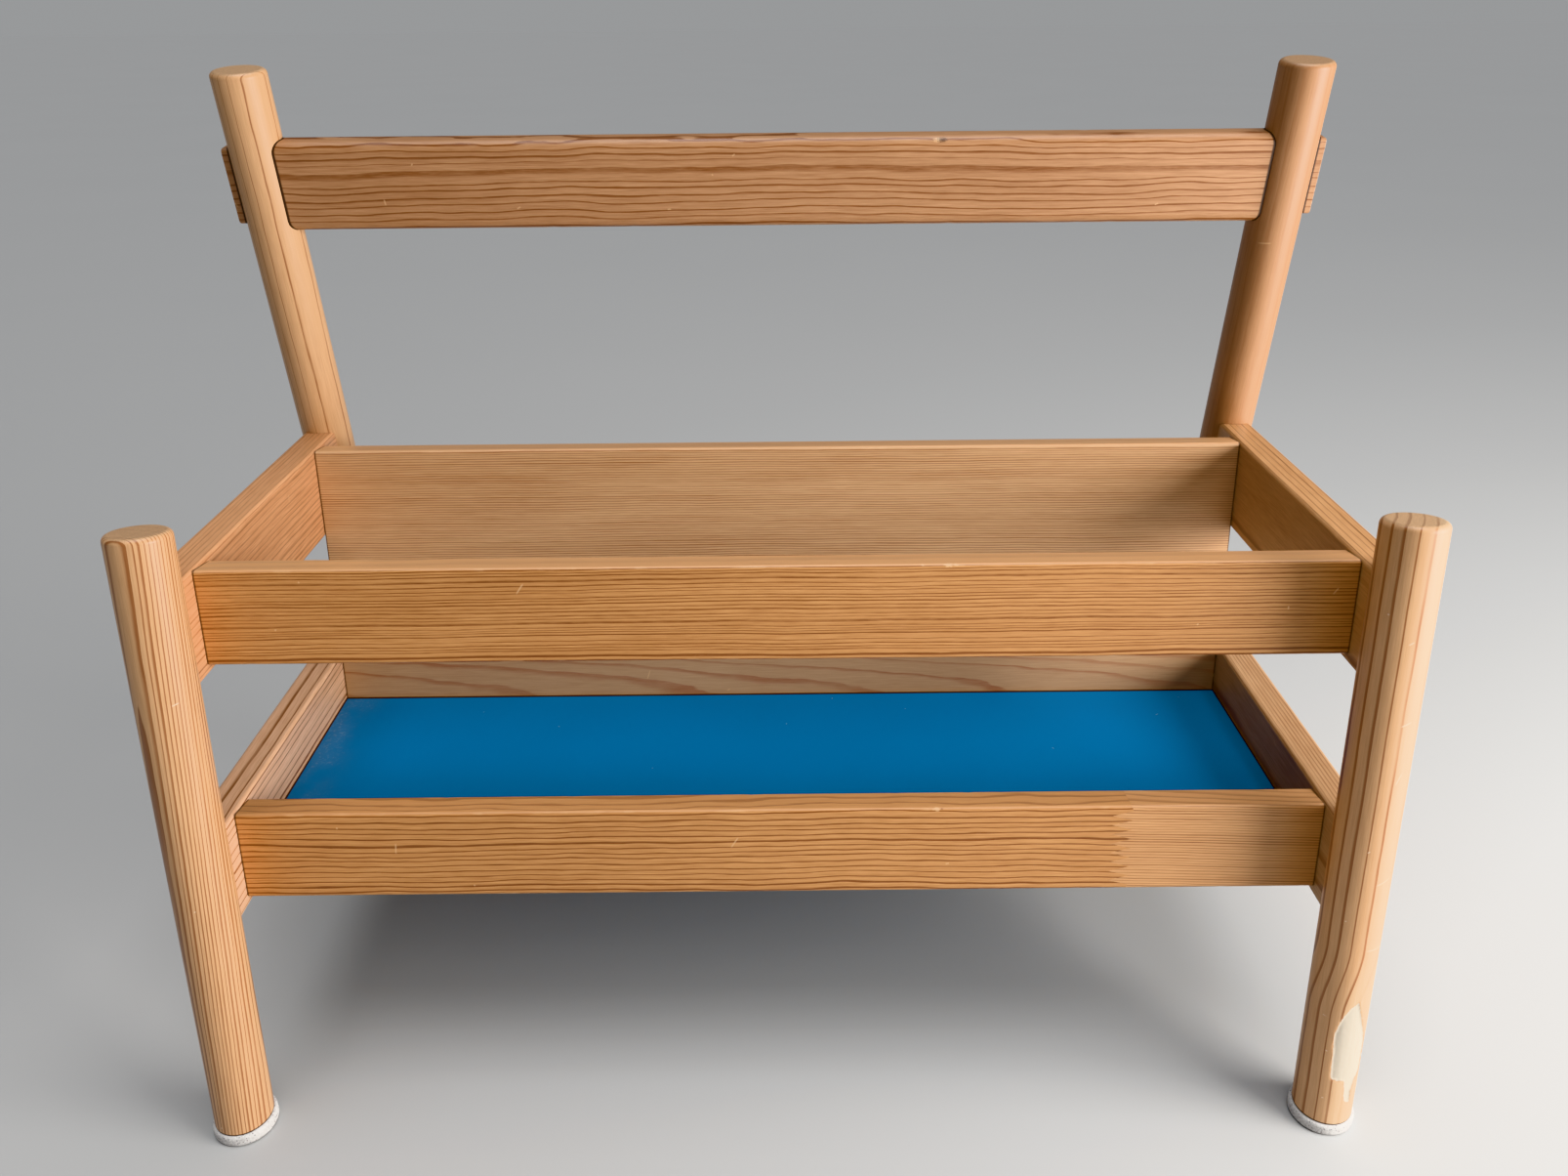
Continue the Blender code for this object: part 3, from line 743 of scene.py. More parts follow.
def round_edges(bm, edges, radius, steps=EDGE_STEPS):
    """Rounds some of a shape's edges."""
    bmesh.ops.bevel(bm, geom=edges, offset=radius, offset_type="OFFSET", segments=steps, profile=0.5,
                    affect="EDGES", material=-1)


def block(size):
    """A box about the origin."""
    bm = bmesh.new()
    bmesh.ops.create_cube(bm, size=1.0)
    bmesh.ops.scale(bm, vec=size, verts=bm.verts)
    return bm


def round_bar(radius, depth):
    """A cylinder about the origin, along Z."""
    bm = bmesh.new()
    bmesh.ops.create_cone(bm, cap_ends=True, segments=ROUND_SIDES, radius1=radius, radius2=radius,
                          depth=depth)
    return bm


def rounded_board(size, radius, cuts=0):
    """A board about the origin, long in X, with its long edges rounded and cut across at even steps."""
    bm = block(size)
    round_edges(bm, edges_along(bm, 0), radius)
    if cuts:
        bmesh.ops.subdivide_edges(bm, edges=edges_along(bm, 0), cuts=cuts, use_grid_fill=True)
    return bm


DENT_RATE = 90.0  # noise cells to a metre of edge
DENT_LEAST = 0.25  # noise above this presses a dent
DENT_ROWS = (4.0, 9.0)  # steps of the noise that set the dents of the four edges apart


def dent_edges(bm, size, radius, seed):
    """Presses small dents into the rounded long edges of a board."""
    depth = settings("sizes").dent_depth
    inner = size / 2 - Vector((0.0, radius, radius))
    for vertex in bm.verts:
        x, y, z = vertex.co
        past_y = math.copysign(max(abs(y) - inner.y, 0.0), y)
        past_z = math.copysign(max(abs(z) - inner.z, 0.0), z)
        if past_y and past_z:
            row_y, row_z = (math.copysign(row, side) for row, side in zip(DENT_ROWS, (y, z)))
            press = noise.noise(Vector((x * DENT_RATE, row_y + seed, row_z))) - DENT_LEAST
            vertex.co -= Vector((0.0, past_y, past_z)).normalized() * (max(press, 0.0) * depth)


def carve(bm, cutter):
    """Takes one closed shape away from another and returns what is left."""
    objects = []
    for shape in (bm, cutter):
        mesh = bpy.data.meshes.new("carving")
        shape.to_mesh(mesh)
        shape.free()
        objects.append(bpy.data.objects.new("carving", mesh))
        bpy.context.scene.collection.objects.link(objects[-1])
    carving = objects[0].modifiers.new("Carve", "BOOLEAN")
    carving.operation = "DIFFERENCE"
    carving.solver = "EXACT"
    carving.object = objects[1]
    left = bmesh.new()
    left.from_object(objects[0], bpy.context.evaluated_depsgraph_get())
    for spent in objects:
        bpy.data.meshes.remove(spent.data)
    return left


def show(bm, node, material):
    """Makes a finished piece from a shape in the frame's axes, in place of a node."""
    bmesh.ops.recalc_face_normals(bm, faces=bm.faces)
    mesh = bpy.data.meshes.new(node + "_finished")
    bm.to_mesh(mesh)
    bm.free()
    mesh.shade_smooth()
    mesh.set_sharp_from_angle(angle=SHARP_ANGLE)
    mesh.materials.append(material)
    piece = bpy.data.objects.new(node + "_finished", mesh)
    bpy.context.scene.collection.objects.link(piece)
    even = piece.modifiers.new("Even shading", "WEIGHTED_NORMAL")
    even.keep_sharp = True
    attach(piece, "root")
    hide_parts(node)
    return piece


def show_board(bm, node, place, size, radius):
    """Makes a finished board from a shape in the board's own axes, with the nicks in its edge."""
    bmesh.ops.transform(bm, matrix=place, verts=bm.verts)
    finish = wood_finish(node, place, size / 2)
    nicked_edge(finish, node, size / 2, radius)
    show(bm, node, finish.material)


# Posts

# Turns a post's axes, Z up, Y to the back, so that X lies along its grain
UPRIGHT = Matrix(((0, 1, 0, 0), (0, 0, 1, 0), (1, 0, 0, 0), (0, 0, 0, 1)))
LEVEL = (0.0, 0.0, 1.0)  # straight up from a level cut
RIM_SLACK = 1e-5  # within which a point counts as level with a post's top


def post_axes(name, row):
    """Axes of a post, from the floor up along its middle, with its radius and length."""
    turn = lean_turn(row)
    centre, size = box_in(name, turn)
    foot = -math.tan(settings("sizes").lean) * abs(centre.y)
    return turn @ Matrix.Translation((centre.x, centre.y, foot)), size.x / 2, centre.z + size.z / 2 - foot


def post_shape(radius, top, rounding, steps):
    """A round post about the Z axis with its top rim rounded, cut across at given heights."""
    bm = round_bar(radius, top + radius)
    bmesh.ops.translate(bm, vec=(0.0, 0.0, (top - radius) / 2), verts=bm.verts)
    round_edges(bm, [e for e in bm.edges if all(v.co.z > top - RIM_SLACK for v in e.verts)], rounding)
    for height in steps:
        bmesh.ops.bisect_plane(bm, geom=everything(bm), plane_co=(0.0, 0.0, height), plane_no=LEVEL)
    return bm


def cut_level(bm, height):
    """Cuts the foot of a leaning post off level."""
    bmesh.ops.bisect_plane(bm, geom=everything(bm), plane_co=(0.0, 0.0, height), plane_no=LEVEL,
                           clear_inner=True)
    bmesh.ops.holes_fill(bm, edges=[e for e in bm.edges if e.is_boundary])


# The split on the front right post: arc to the right of its front and height above the floor, in mm
SPLIT_OUTLINE = (
    (4.0, 96.0), (-0.5, 92.0), (-4.0, 86.0), (-6.0, 80.0), (-7.5, 73.0), (-7.6, 67.5), (-6.8, 58.0),
    (-6.2, 40.5), (-5.0, 39.4), (-3.2, 39.3), (-1.7, 38.4), (0.1, 39.0), (2.5, 38.3), (3.0, 34.5),
    (3.8, 30.5), (3.9, 27.0), (4.7, 23.8), (7.0, 21.2), (9.6, 21.2), (9.1, 29.0), (10.9, 37.5),
    (13.5, 40.0), (17.5, 43.0), (19.0, 50.0), (18.5, 58.0), (15.6, 65.3), (10.8, 76.0), (7.7, 84.6),
)
MILLIMETRES = 1000  # in a metre
SPLIT_FOOT = 0.018
SPLIT_STEP = 0.001
SPLIT_CUTS = 81
SPLIT_STEPS = [SPLIT_FOOT + SPLIT_STEP * step for step in range(SPLIT_CUTS)]  # where the post is cut across
SPLIT_LAYER = "split"
FAR_OUTSIDE = -0.01
SPLIT_UNEVEN = 0.0001  # height of the torn fibres in the split
SPLIT_UNEVEN_RATE = 400.0


def inside_by(point, outline):
    """Distance of a point from an outline, counted positive inside it."""
    nearest = math.inf
    inside = False
    for first, second in zip(outline, outline[1:] + outline[:1]):
        side = second - first
        share = min(max((point - first).dot(side) / side.length_squared, 0.0), 1.0)
        nearest = min(nearest, (first + side * share - point).length)
        if (first.y > point.y) != (second.y > point.y):
            crossing = first.x + (point.y - first.y) / side.y * side.x
            inside ^= point.x < crossing
    return nearest if inside else -nearest


def split_post(bm, radius):
    """Sinks the split into a post and keeps each vertex's distance inside it."""
    sizes = settings("sizes")
    outline = [Vector(point) / MILLIMETRES for point in SPLIT_OUTLINE]
    layer = bm.verts.layers.float.new(SPLIT_LAYER)
    for vertex in bm.verts:
        vertex[layer] = FAR_OUTSIDE
        x, y, height = vertex.co
        if SPLIT_STEPS[0] - SPLIT_STEP < height < SPLIT_STEPS[-1] + SPLIT_STEP and y < radius / 2:
            within = inside_by(Vector((radius * math.atan2(x, -y), height)), outline)
            vertex[layer] = within
            sink = min(max(within / sizes.split_rim, 0.0), 1.0) * sizes.split_depth
            if sink:
                sink += SPLIT_UNEVEN * noise.noise(vertex.co * SPLIT_UNEVEN_RATE)
            vertex.co.x -= x / radius * sink
            vertex.co.y -= y / radius * sink


# Distances inside the split's outline, in metres, where each effect begins and where it is full
SPLIT_EDGE = (0.0, 0.0002)
SPLIT_STAIN_OUTSIDE = (-0.0009, 0.0)
SPLIT_STAIN_INSIDE = (0.0007, 0.0)
SPLIT_RAGGED = 0.0016  # metres over which the outline wanders
RAGGED_RATE = (500.0, 900.0, 900.0)  # noise cells to a metre
THREAD_RATE = (60.0, 1800.0, 1800.0)  # noise cells to a metre
THREAD_SHARE = 0.35
STAIN_SHARE = 0.35
BARE_ROUGHNESS = 0.3  # more than that of the lacquered wood


def bare_split(finish):
    """Bare pale wood where a post has split, ragged at its rim and stained along it."""
    tree = finish.tree
    ragged = tree.noise(finish.vector, RAGGED_RATE, 3.0, 0.6)["Fac"]
    ragged = tree.times(tree.plus(ragged, -0.5), SPLIT_RAGGED)
    within = tree.add("ShaderNodeAttribute", attribute_name=SPLIT_LAYER).outputs["Fac"]
    within = tree.plus(within, ragged)
    bare = tree.ease(within, *SPLIT_EDGE)
    rim = tree.times(tree.ease(within, *SPLIT_STAIN_OUTSIDE), tree.ease(within, *SPLIT_STAIN_INSIDE))
    thread = tree.noise(finish.vector, THREAD_RATE, 3.0)["Fac"]
    finish.paint(bare, tree.mix(tree.times(thread, THREAD_SHARE), tint("bare"), tint("worn")))
    finish.paint(tree.times(rim, STAIN_SHARE), tint("russet"))
    finish.shade({"Roughness": tree.times(bare, BARE_ROUGHNESS, finish.fed_by("Roughness"))})


# Depths under a post's top and heights over its foot, in metres, where each effect begins and is full
SAWN_DEPTH = (0.0012, 0.0003)
# Painted shadow where a post stands on its felt pad
FOOT_SHADOW = (0.0011, 0.0003)
PORE_RATE = (1400.0, 1400.0, 1400.0)  # noise cells to a metre
PORE_SHADES = (0.45, 1.45)
SAWN_SHARE = 0.45


def sawn_end_group():
    """Duller, speckled wood on the sawn top of a post."""
    tree, given, out = new_group(
        "Sawn end",
        {"Vector": ("Vector",), "Color": ("Color", "Sawn"), "Float": ("Top",)},
        {"Color": ("Color",)})
    depth = tree.step("SUBTRACT", given["Top"], tree.parts(given["Vector"])["X"])
    pore = tree.noise(given["Vector"], PORE_RATE, 3.0, 0.65)["Fac"]
    dull = tree.mix(SAWN_SHARE, given["Color"], given["Sawn"])
    dull = tree.scaled(dull, tree.between(pore, *PORE_SHADES))
    tree.feed(out["Color"], tree.mix(tree.ease(depth, *SAWN_DEPTH), given["Color"], dull))


def foot_shadow(finish, foot):
    """A painted shadow line round the foot of a post, where it stands on its pad."""
    height = finish.tree.parts(finish.point)["Z"]
    finish.dirty(finish.tree.plus(height, -foot), FOOT_SHADOW)


class BOOKDISPLAY_OT_posts(bpy.types.Operator):
    """Make the four round posts"""

    bl_idname = "book_display.posts"
    bl_label = "Posts"

    def execute(self, context):
        sizes = settings("sizes")
        for row in ROWS:
            for side in SIDES:
                name = f"{row}_{side}_post"
                axes, radius, top = post_axes(name, row)
                foot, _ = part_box(name)
                split = name == "front_right_post"
                bm = post_shape(radius, top, sizes.post_round, SPLIT_STEPS if split else ())
                if split:
                    split_post(bm, radius)
                bmesh.ops.transform(bm, matrix=axes, verts=bm.verts)
                cut_level(bm, foot.z)
                if row == "rear":
                    bm = carve(bm, top_rail_shape(sizes.joint_gap))
                finish = wood_finish(name, axes @ UPRIGHT, Vector((top, radius, radius)))
                if split:
                    bare_split(finish)
                finish.cover("Sawn end", {"Sawn": tint("sawn"), "Top": top})
                foot_shadow(finish, foot.z)
                show(bm, name, finish.material)
        return {"FINISHED"}


# Rails and boards

class BOOKDISPLAY_OT_end_rails(bpy.types.Operator):
    """Make the four end rails between the posts"""

    bl_idname = "book_display.end_rails"
    bl_label = "End rails"

    def execute(self, context):
        sizes = settings("sizes")
        lengthwise = Matrix.Rotation(math.pi / 2, 4, "Z")
        for level in ("upper", "lower"):
            for side in SIDES:
                name = f"{level}_{side}_end_rail"
                place, size = board_place(name, lengthwise)
                bm = rounded_board(size, sizes.edge_round)
                bmesh.ops.transform(bm, matrix=place, verts=bm.verts)
                bmesh.ops.subdivide_edges(bm, edges=edges_along(bm, 0), cuts=END_RAIL_CUTS,
                                          use_grid_fill=True)
                for row in ROWS:
                    self.hollow(bm, row, side, sizes)
                show(bm, name, wood_finish(name, place, size / 2).material)
        return {"FINISHED"}

    def hollow(self, bm, row, side, sizes):
        """Moves one end of a rail onto the round of its post."""
        centre, size = box_in(f"{row}_{side}_post", lean_turn(row))
        reach = size.x / 2 + sizes.joint_gap
        for vertex in bm.verts:
            if vertex.co.y * ROWS[row] > 0.0:
                aside = vertex.co.x - centre.x
                step = math.sqrt(reach ** 2 - aside ** 2) / math.cos(sizes.lean)
                slope = math.tan(sizes.lean) * vertex.co.z
                vertex.co.y = centre.y / math.cos(sizes.lean) - ROWS[row] * (slope + step)


class BOOKDISPLAY_OT_cross_boards(bpy.types.Operator):
    """Make the upper front rail, the upper back board and the lower back rail"""

    bl_idname = "book_display.cross_boards"
    bl_label = "Cross boards"

    def execute(self, context):
        radius = settings("sizes").edge_round
        for name in ("upper_front_rail", "upper_back_board", "lower_back_rail"):
            place, size = board_place(name, lean_turn("front"))
            bm = rounded_board(size, radius, BOARD_CUTS)
            dent_edges(bm, size, radius, FIGURES[name].seed)
            show_board(bm, name, place, size, radius)
        return {"FINISHED"}


def finger_cutter(start, end, size, count, to_left):
    """A block that fills everything to one side of a zigzag between two places along X."""
    points = []
    for step in range(2 * count + 1):
        height = size.z * (step / (2 * count) - 0.5)
        points.append((end if step % 2 else start, height))
    points[0] = (points[0][0], -size.z)
    points[-1] = (points[-1][0], size.z)
    far = -size.x if to_left else size.x
    points += [(far, size.z), (far, -size.z)]
    bm = bmesh.new()
    face = bm.faces.new([bm.verts.new((x, -size.y, z)) for x, z in points])
    grown = bmesh.ops.extrude_face_region(bm, geom=[face])["geom"]
    moved = [item for item in grown if isinstance(item, bmesh.types.BMVert)]
    bmesh.ops.translate(bm, vec=(0.0, 2 * size.y, 0.0), verts=moved)
    bmesh.ops.recalc_face_normals(bm, faces=bm.faces)
    return bm


class BOOKDISPLAY_OT_jointed_rail(bpy.types.Operator):
    """Make the two lengths of the lower front rail and the finger joint between them"""

    bl_idname = "book_display.jointed_rail"
    bl_label = "Jointed rail"

    def execute(self, context):
        sizes = settings("sizes")
        turn = lean_turn("front")
        names = ("lower_front_rail_long", "lower_front_rail_short")
        (centre, size), (short, short_size) = (box_in(name, turn) for name in names)
        left = centre.x - size.x / 2
        tip = centre.x + size.x / 2
        root = short.x - short_size.x / 2
        right = short.x + short_size.x / 2
        centre.x = (left + right) / 2
        size.x = right - left
        for name, to_left in zip(names, (False, True)):
            bm = rounded_board(size, sizes.edge_round, BOARD_CUTS)
            dent_edges(bm, size, sizes.edge_round, FIGURES[name].seed)
            middle = centre.x - (sizes.finger_gap if to_left else -sizes.finger_gap) / 2
            bm = carve(bm, finger_cutter(root - middle, tip - middle, size, sizes.finger_count, to_left))
            show_board(bm, name, turn @ Matrix.Translation(centre), size, sizes.edge_round)
        return {"FINISHED"}


TENON_SPARE = 0.02  # how far the shape that cuts a tenon's hole runs past the tenon
# Painted shadow in the gap round the top rail where it enters a post
HOUSING_SHADOW = (0.0016, 0.0006)  # distances from a post's round where its dark line begins and is full


def top_rail_shape(gap=0.0):
    """The top rail with a tenon at each end, in the frame's axes, larger all round by a gap."""
    sizes = settings("sizes")
    place, size = board_place("top_rail", lean_turn("rear"))
    post, post_size = box_in("rear_right_post", lean_turn("rear"))
    inner = post.x - post_size.x / 2
    body = Vector((2 * (inner + sizes.housing_depth + gap), size.y + 2 * gap, size.z + 2 * gap))
    bm = rounded_board(body, sizes.rail_round + gap, 0 if gap else TOP_RAIL_CUTS)
    if not gap:
        dent_edges(bm, body, sizes.rail_round, FIGURES["top_rail"].seed)
    reach = (size.x - body.x) / 2 + (TENON_SPARE if gap else 0.0)
    for end in [f for f in bm.faces if abs(f.normal.x) > ALIGNED]:
        bmesh.ops.inset_region(bm, faces=[end], thickness=sizes.tenon_inset, use_even_offset=True)
        way = math.copysign(1.0, end.calc_center_median().x)
        grown = bmesh.ops.extrude_discrete_faces(bm, faces=[end])["faces"]
        bmesh.ops.translate(bm, vec=(way * reach, 0.0, 0.0), verts=grown[0].verts)
        if not gap:
            round_edges(bm, list(grown[0].edges), sizes.tenon_round, SMALL_EDGE_STEPS)
    bmesh.ops.transform(bm, matrix=place, verts=bm.verts)
    return bm


class BOOKDISPLAY_OT_top_rail(bpy.types.Operator):
    """Make the top rail with its tenons"""

    bl_idname = "book_display.top_rail"
    bl_label = "Top rail"

    def execute(self, context):
        place, size = board_place("top_rail", lean_turn("rear"))
        finish = wood_finish("top_rail", place, size / 2)
        self.housing_shadow(finish)
        nicked_edge(finish, "top_rail", size / 2, settings("sizes").rail_round)
        show(top_rail_shape(), "top_rail", finish.material)
        return {"FINISHED"}

    def housing_shadow(self, finish):
        """A painted shadow line round the rail where it enters the posts."""
        rail, _ = box_in("top_rail", lean_turn("rear"))
        post, post_size = box_in("rear_right_post", lean_turn("rear"))
        tree = finish.tree
        x, y, _ = tree.parts(finish.vector)
        along = tree.plus(tree.step("ABSOLUTE", x), rail.x - post.x)
        aside = tree.plus(y, rail.y - post.y)
        reach = tree.step("SQRT", tree.plus(tree.times(along, along), tree.times(aside, aside)))
        finish.dirty(tree.plus(reach, -post_size.x / 2), HOUSING_SHADOW)


# Tray panel

# Where marks on the panel begin and are full, in metres from its middle or from the rails round it
DUST_EDGE = (-0.29, -0.325)
# Painted shadow lines where the panel runs under the back rail and the end rails
BACK_SHADOW = (0.0030, 0.0016)
SIDE_SHADOW = (0.0018, 0.0009)

# Its noise, in cells to a metre, and the tones that the noise gives
BLUE_CLOUDS = {"Rate": (9.0, 9.0, 9.0), "Detail": 3.0, "Clear": 0.92, "Clouded": 1.08}
DUST_RATE = (420.0, 420.0, 420.0)
DUST_PATCH_RATE = (45.0, 30.0, 45.0)
DUST_PATCHES = (0.35, 0.65)
DUST_GRAINS = (0.5, 0.7)
DUST_SHARE = (0.12, 0.32)
BLUE_ROUGHNESS = (0.36, 0.48)
SPECKS = {"Amount": 0.14, "Mark Length": 0.03, "Mark Spacing": MARK_SPACING, "Seed": 15.0}


class BOOKDISPLAY_OT_tray_panel(bpy.types.Operator):
    """Make the blue panel in the lower tier"""

    bl_idname = "book_display.tray_panel"
    bl_label = "Tray panel"

    def execute(self, context):
        place, size = board_place("tray_panel")
        bm = block(size)
        round_edges(bm, list(bm.edges), settings("sizes").panel_round, SMALL_EDGE_STEPS)
        bmesh.ops.transform(bm, matrix=place, verts=bm.verts)
        show(bm, "tray_panel", self.material(place))
        return {"FINISHED"}

    def back_line(self, place):
        """Where the back rail's face meets the panel's top, along Y in the panel's own axes."""
        rail, rail_size = box_in("lower_back_rail", lean_turn("front"))
        _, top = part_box("tray_panel")
        lean = settings("sizes").lean
        face = (rail.y - rail_size.y / 2 + math.sin(lean) * top.z) / math.cos(lean)
        return face - place.to_translation().y

    def material(self, place):
        """Satin blue facing, with dust at its left end, specks, and painted shadow lines along the rails.
        """
        finish = Finish("blue_facing", place)
        tree = finish.tree
        blue = finish.clouded(tint("blue"), BLUE_CLOUDS)
        grains = tree.noise(finish.vector, DUST_RATE, 4.0, 0.7)["Fac"]
        patch = tree.noise(finish.vector, DUST_PATCH_RATE, 3.0)["Fac"]
        x, y, _ = tree.parts(finish.vector)
        left = tree.times(tree.ease(x, *DUST_EDGE), tree.ease(patch, *DUST_PATCHES))
        dust = tree.times(tree.between(tree.ease(grains, *DUST_GRAINS), *DUST_SHARE), left)
        specked = tree.grouped("Handling marks", SPECKS | {
            "Along": x, "Across": y, "Color": tree.mix(dust, blue["Color"], tint("dust")),
            "Mark": tint("dust"),
        })
        roughness = tree.between(blue["Cloud"], *BLUE_ROUGHNESS)
        finish.shade({"Base Color": specked["Color"], "Roughness": roughness, "Specular IOR Level": 0.12})
        _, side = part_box("lower_left_end_rail")
        # Painted shadow lines along the back rail and the end rails
        finish.dirty(tree.step("SUBTRACT", self.back_line(place), y), BACK_SHADOW)
        finish.dirty(tree.step("SUBTRACT", -side.x, tree.step("ABSOLUTE", x)), SIDE_SHADOW)
        return finish.material


# Felt pads

FELT_ROUND = 0.28  # radius of a pad's edges, as a share of its thickness
FELT_FREE = 0.4  # share of a pad's width past which its rim frays
FRAY_RATE = 700.0
HAIR_RATE = (900.0, 900.0, 900.0)
FELT_PATCH_RATE = (160.0, 160.0, 160.0)
SPECK_RATE = 950.0
SPECK_EDGE = (0.55, 0.2)
SPECK_PATCHES = (0.35, 0.7)
SPECK_CROWD = (0.08, 0.38)  # share of dark hairs where they are few and where they are many
SPECK_TONE = 0.75
FELT_SHADES = (0.6, 1.6)
FELT_PATCH_SHADE = -0.35


class BOOKDISPLAY_OT_felt_pads(bpy.types.Operator):
    """Make the four felt pads under the posts"""

    bl_idname = "book_display.felt_pads"
    bl_label = "Felt pads"

    def execute(self, context):
        fuzz = settings("sizes").felt_fuzz
        material = self.material()
        for row in ROWS:
            for side in SIDES:
                name = f"{row}_{side}_felt_pad"
                place, size = board_place(name)
                bm = self.shape(size, fuzz)
                bmesh.ops.transform(bm, matrix=place, verts=bm.verts)
                self.fray(bm, place.to_translation(), size, fuzz)
                pad = show(bm, name, material)
        return {"FINISHED"}

    def shape(self, size, fuzz):
        """A flat round pad with a soft rim."""
        bm = round_bar(size.x / 2 - fuzz / 2, size.z)
        rims = [e for e in bm.edges if abs(e.verts[0].co.z - e.verts[1].co.z) < RIM_SLACK]
        round_edges(bm, rims, size.z * FELT_ROUND, FELT_EDGE_STEPS)
        bmesh.ops.subdivide_edges(bm, edges=edges_along(bm, 2), cuts=FELT_CUTS, use_grid_fill=True)
        return bm

    def fray(self, bm, centre, size, fuzz):
        """Makes the rim of a pad uneven."""
        for vertex in bm.verts:
            out = Vector((vertex.co.x - centre.x, vertex.co.y - centre.y, 0.0))
            if out.length > size.x * FELT_FREE:
                vertex.co += out.normalized() * noise.noise(vertex.co * FRAY_RATE) * fuzz / 2

    def material(self):
        """Pale pressed felt with dark and reddish hairs in it."""
        finish = Finish("grey_felt")
        tree = finish.tree
        hair = tree.noise(finish.vector, HAIR_RATE, 4.0, 0.7)["Fac"]
        patch = tree.noise(finish.vector, FELT_PATCH_RATE, 3.0)["Fac"]
        speck = tree.add("ShaderNodeTexVoronoi", {"Vector": finish.vector, "Scale": SPECK_RATE}).outputs
        chosen = tree.parts(speck["Color"])
        crowd = tree.between(tree.ease(patch, *SPECK_PATCHES), *SPECK_CROWD)
        dark = tree.step("LESS_THAN", chosen["X"], crowd)
        dark = tree.times(tree.ease(speck["Distance"], *SPECK_EDGE), dark)
        grey = tree.times(patch, FELT_PATCH_SHADE, tree.between(hair, *FELT_SHADES))
        felt = tree.scaled(tint("felt")[:3], grey)
        tone = tree.mix(chosen["Y"], tint("dark_speck"), tint("red_speck"))
        finish.shade({"Base Color": tree.mix(tree.times(dark, SPECK_TONE), felt, tone), "Roughness": 0.95,
                      "Specular IOR Level": 0.1})
        finish.emboss(hair, strength=0.7, distance=0.0006)
        return finish.material


# Dowels

DOWEL_CLOUDS = {"Rate": (300.0, 300.0, 300.0), "Detail": 2.0, "Clear": 1.0, "Clouded": 0.8}


class BOOKDISPLAY_OT_dowels(bpy.types.Operator):
    """Finish the dowels inside the joints"""

    bl_idname = "book_display.dowels"
    bl_label = "Dowels"

    def execute(self, context):
        finish = Finish("beech_dowel")
        shade = finish.clouded(tint("beech"), DOWEL_CLOUDS)["Color"]
        finish.shade({"Base Color": shade, "Roughness": 0.7})
        for name, node in frame["nodes"].items():
            if SLOTS[name] == "beech":
                node.data.materials.clear()
                node.data.materials.append(finish.material)
        return {"FINISHED"}


# Stage

FLOOR_HALF = 30.0
FLOOR_CLOUDS = {"Rate": (1.5, 1.5, 1.5), "Detail": 2.0, "Clear": 1.0, "Clouded": 0.97}
NEAREST_SEEN = 0.01


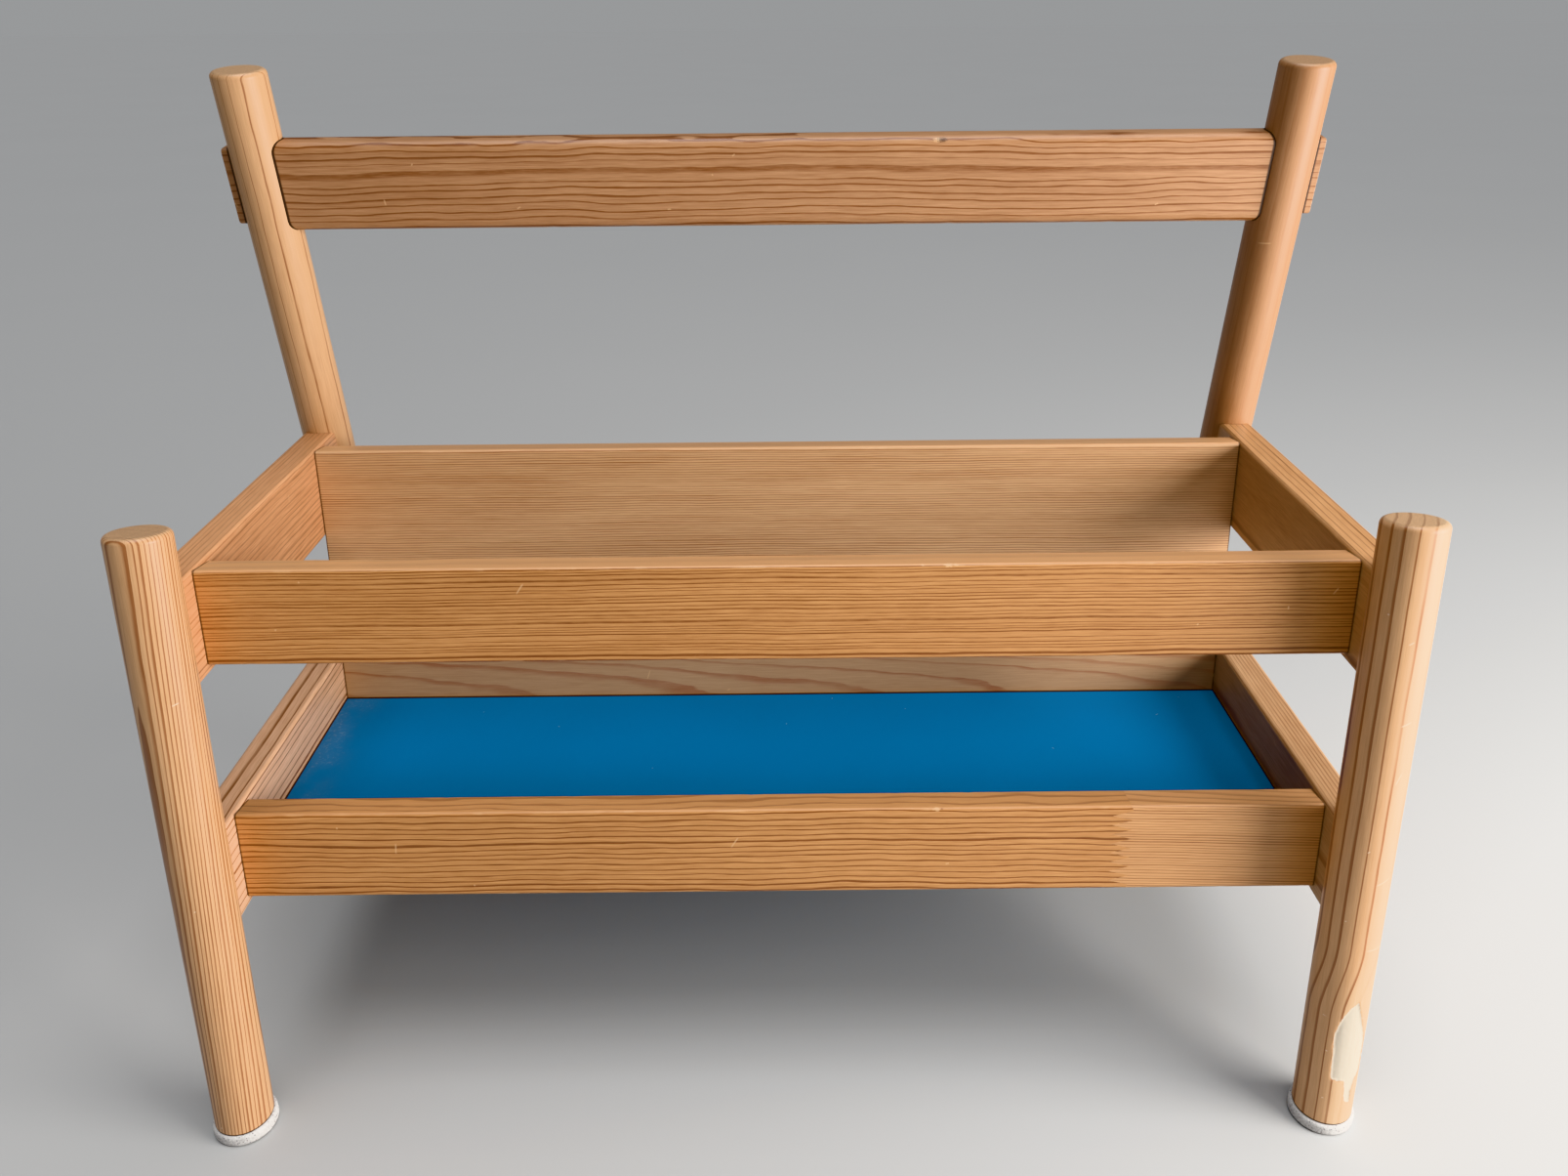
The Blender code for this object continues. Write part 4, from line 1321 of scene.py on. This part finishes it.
class BOOKDISPLAY_OT_stage(bpy.types.Operator):
    """Set up the floor, the light and the camera"""

    bl_idname = "book_display.stage"
    bl_label = "Stage"

    def execute(self, context):
        stage = settings("stage")
        self.floor(context, stage)
        self.lights(context, stage)
        self.sky(context, stage)
        self.camera(context, stage)
        context.scene.view_settings.view_transform = "Khronos PBR Neutral"
        return {"FINISHED"}

    def floor(self, context, stage):
        """A plain pale floor with faint clouds."""
        bm = bmesh.new()
        bmesh.ops.create_grid(bm, x_segments=1, y_segments=1, size=FLOOR_HALF)
        mesh = bpy.data.meshes.new("floor")
        bm.to_mesh(mesh)
        bm.free()
        finish = Finish("floor")
        shade = finish.clouded((*stage.floor, 1.0), FLOOR_CLOUDS)["Color"]
        finish.shade({"Base Color": shade, "Roughness": 0.7})
        mesh.materials.append(finish.material)
        floor = bpy.data.objects.new("floor", mesh)
        context.scene.collection.objects.link(floor)

    def lights(self, context, stage):
        """A large soft light at the right and a wide one overhead."""
        key = bpy.data.lights.new("key_light", "POINT")
        key.shadow_soft_size = stage.key_size / 2
        key.energy = stage.key_power
        key.color = stage.key_colour
        top = bpy.data.lights.new("top_light", "SUN")
        top.angle = stage.top_spread
        top.energy = stage.top_strength
        top.color = stage.top_colour
        for light, place in ((key, stage.key_place), (top, stage.top_place)):
            lamp = bpy.data.objects.new(light.name, light)
            lamp.location = place
            aim = Vector(stage.aim) - lamp.location
            lamp.rotation_euler = aim.to_track_quat("-Z", "Y").to_euler()
            lamp.visible_camera = False
            context.scene.collection.objects.link(lamp)

    def sky(self, context, stage):
        """Even light from all round, seen by the camera as pale as the floor far away."""
        world = bpy.data.worlds.new("sky")
        world.use_nodes = True
        world.node_tree.nodes.clear()
        tree = Tree(world.node_tree)
        light = {"Color": (*stage.sky_colour, 1.0), "Strength": stage.sky_strength}
        light = tree.add("ShaderNodeBackground", light).outputs["Background"]
        seen = {"Color": (*stage.horizon, 1.0), "Strength": 1.0}
        seen = tree.add("ShaderNodeBackground", seen).outputs["Background"]
        by_camera = tree.add("ShaderNodeLightPath").outputs["Is Camera Ray"]
        mixed = tree.add("ShaderNodeMixShader")
        for socket, value in zip(mixed.inputs, (by_camera, light, seen)):
            tree.feed(socket, value)
        tree.add("ShaderNodeOutputWorld", {"Surface": mixed.outputs["Shader"]})
        context.scene.world = world

    def camera(self, context, stage):
        """The camera, which looks down at the front of the rack."""
        data = bpy.data.cameras.new("camera")
        data.lens = stage.lens
        data.clip_start = NEAREST_SEEN
        camera = bpy.data.objects.new("camera", data)
        aim = Euler((math.pi / 2 - stage.tilt, 0.0, -stage.turn)).to_matrix().to_4x4()
        camera.matrix_world = Matrix.Translation(stage.eye) @ aim @ Matrix.Rotation(-stage.roll, 4, "Z")
        context.scene.collection.objects.link(camera)
        context.scene.camera = camera


# Sidebar and registration

OPERATORS = (
    BOOKDISPLAY_OT_posts,
    BOOKDISPLAY_OT_felt_pads,
    BOOKDISPLAY_OT_end_rails,
    BOOKDISPLAY_OT_cross_boards,
    BOOKDISPLAY_OT_jointed_rail,
    BOOKDISPLAY_OT_top_rail,
    BOOKDISPLAY_OT_tray_panel,
    BOOKDISPLAY_OT_dowels,
    BOOKDISPLAY_OT_stage,
)
GROUPS = {
    "sizes": BOOKDISPLAY_PG_sizes,
    "colours": BOOKDISPLAY_PG_colours,
    "stage": BOOKDISPLAY_PG_stage,
}


class BOOKDISPLAY_PT_sidebar(bpy.types.Panel):
    """Lists the settings and the steps that build the book display"""

    bl_idname = "BOOKDISPLAY_PT_sidebar"
    bl_label = "Book Display"
    bl_space_type = "VIEW_3D"
    bl_region_type = "UI"
    bl_category = "Book Display"

    def draw(self, context):
        for kind, group in GROUPS.items():
            box = self.layout.box()
            box.label(text=kind.capitalize())
            for name in group.__annotations__:
                box.prop(settings(kind), name)
        column = self.layout.column()
        for step in OPERATORS:
            column.operator(step.bl_idname)


CLASSES = (*GROUPS.values(), *OPERATORS, BOOKDISPLAY_PT_sidebar)


def register():
    """Registers the classes and gives the scene its settings."""
    for item in CLASSES:
        bpy.utils.register_class(item)
    for kind, group in GROUPS.items():
        setattr(bpy.types.Scene, SETTINGS_PREFIX + kind, PointerProperty(type=group))


def unregister():
    """Takes the settings and the classes away again."""
    for kind in GROUPS:
        delattr(bpy.types.Scene, SETTINGS_PREFIX + kind)
    for item in reversed(CLASSES):
        bpy.utils.unregister_class(item)


def main():
    """Builds the book display step by step."""
    register()
    shadow_line_group()
    cloud_group()
    pine_group()
    wear_and_painted_light_group()
    marks_group()
    nick_group()
    sawn_end_group()
    bpy.ops.book_display.posts()
    bpy.ops.book_display.felt_pads()
    bpy.ops.book_display.end_rails()
    bpy.ops.book_display.cross_boards()
    bpy.ops.book_display.jointed_rail()
    bpy.ops.book_display.top_rail()
    bpy.ops.book_display.tray_panel()
    bpy.ops.book_display.dowels()
    bpy.ops.book_display.stage()


if __name__ == "__main__":
    main()
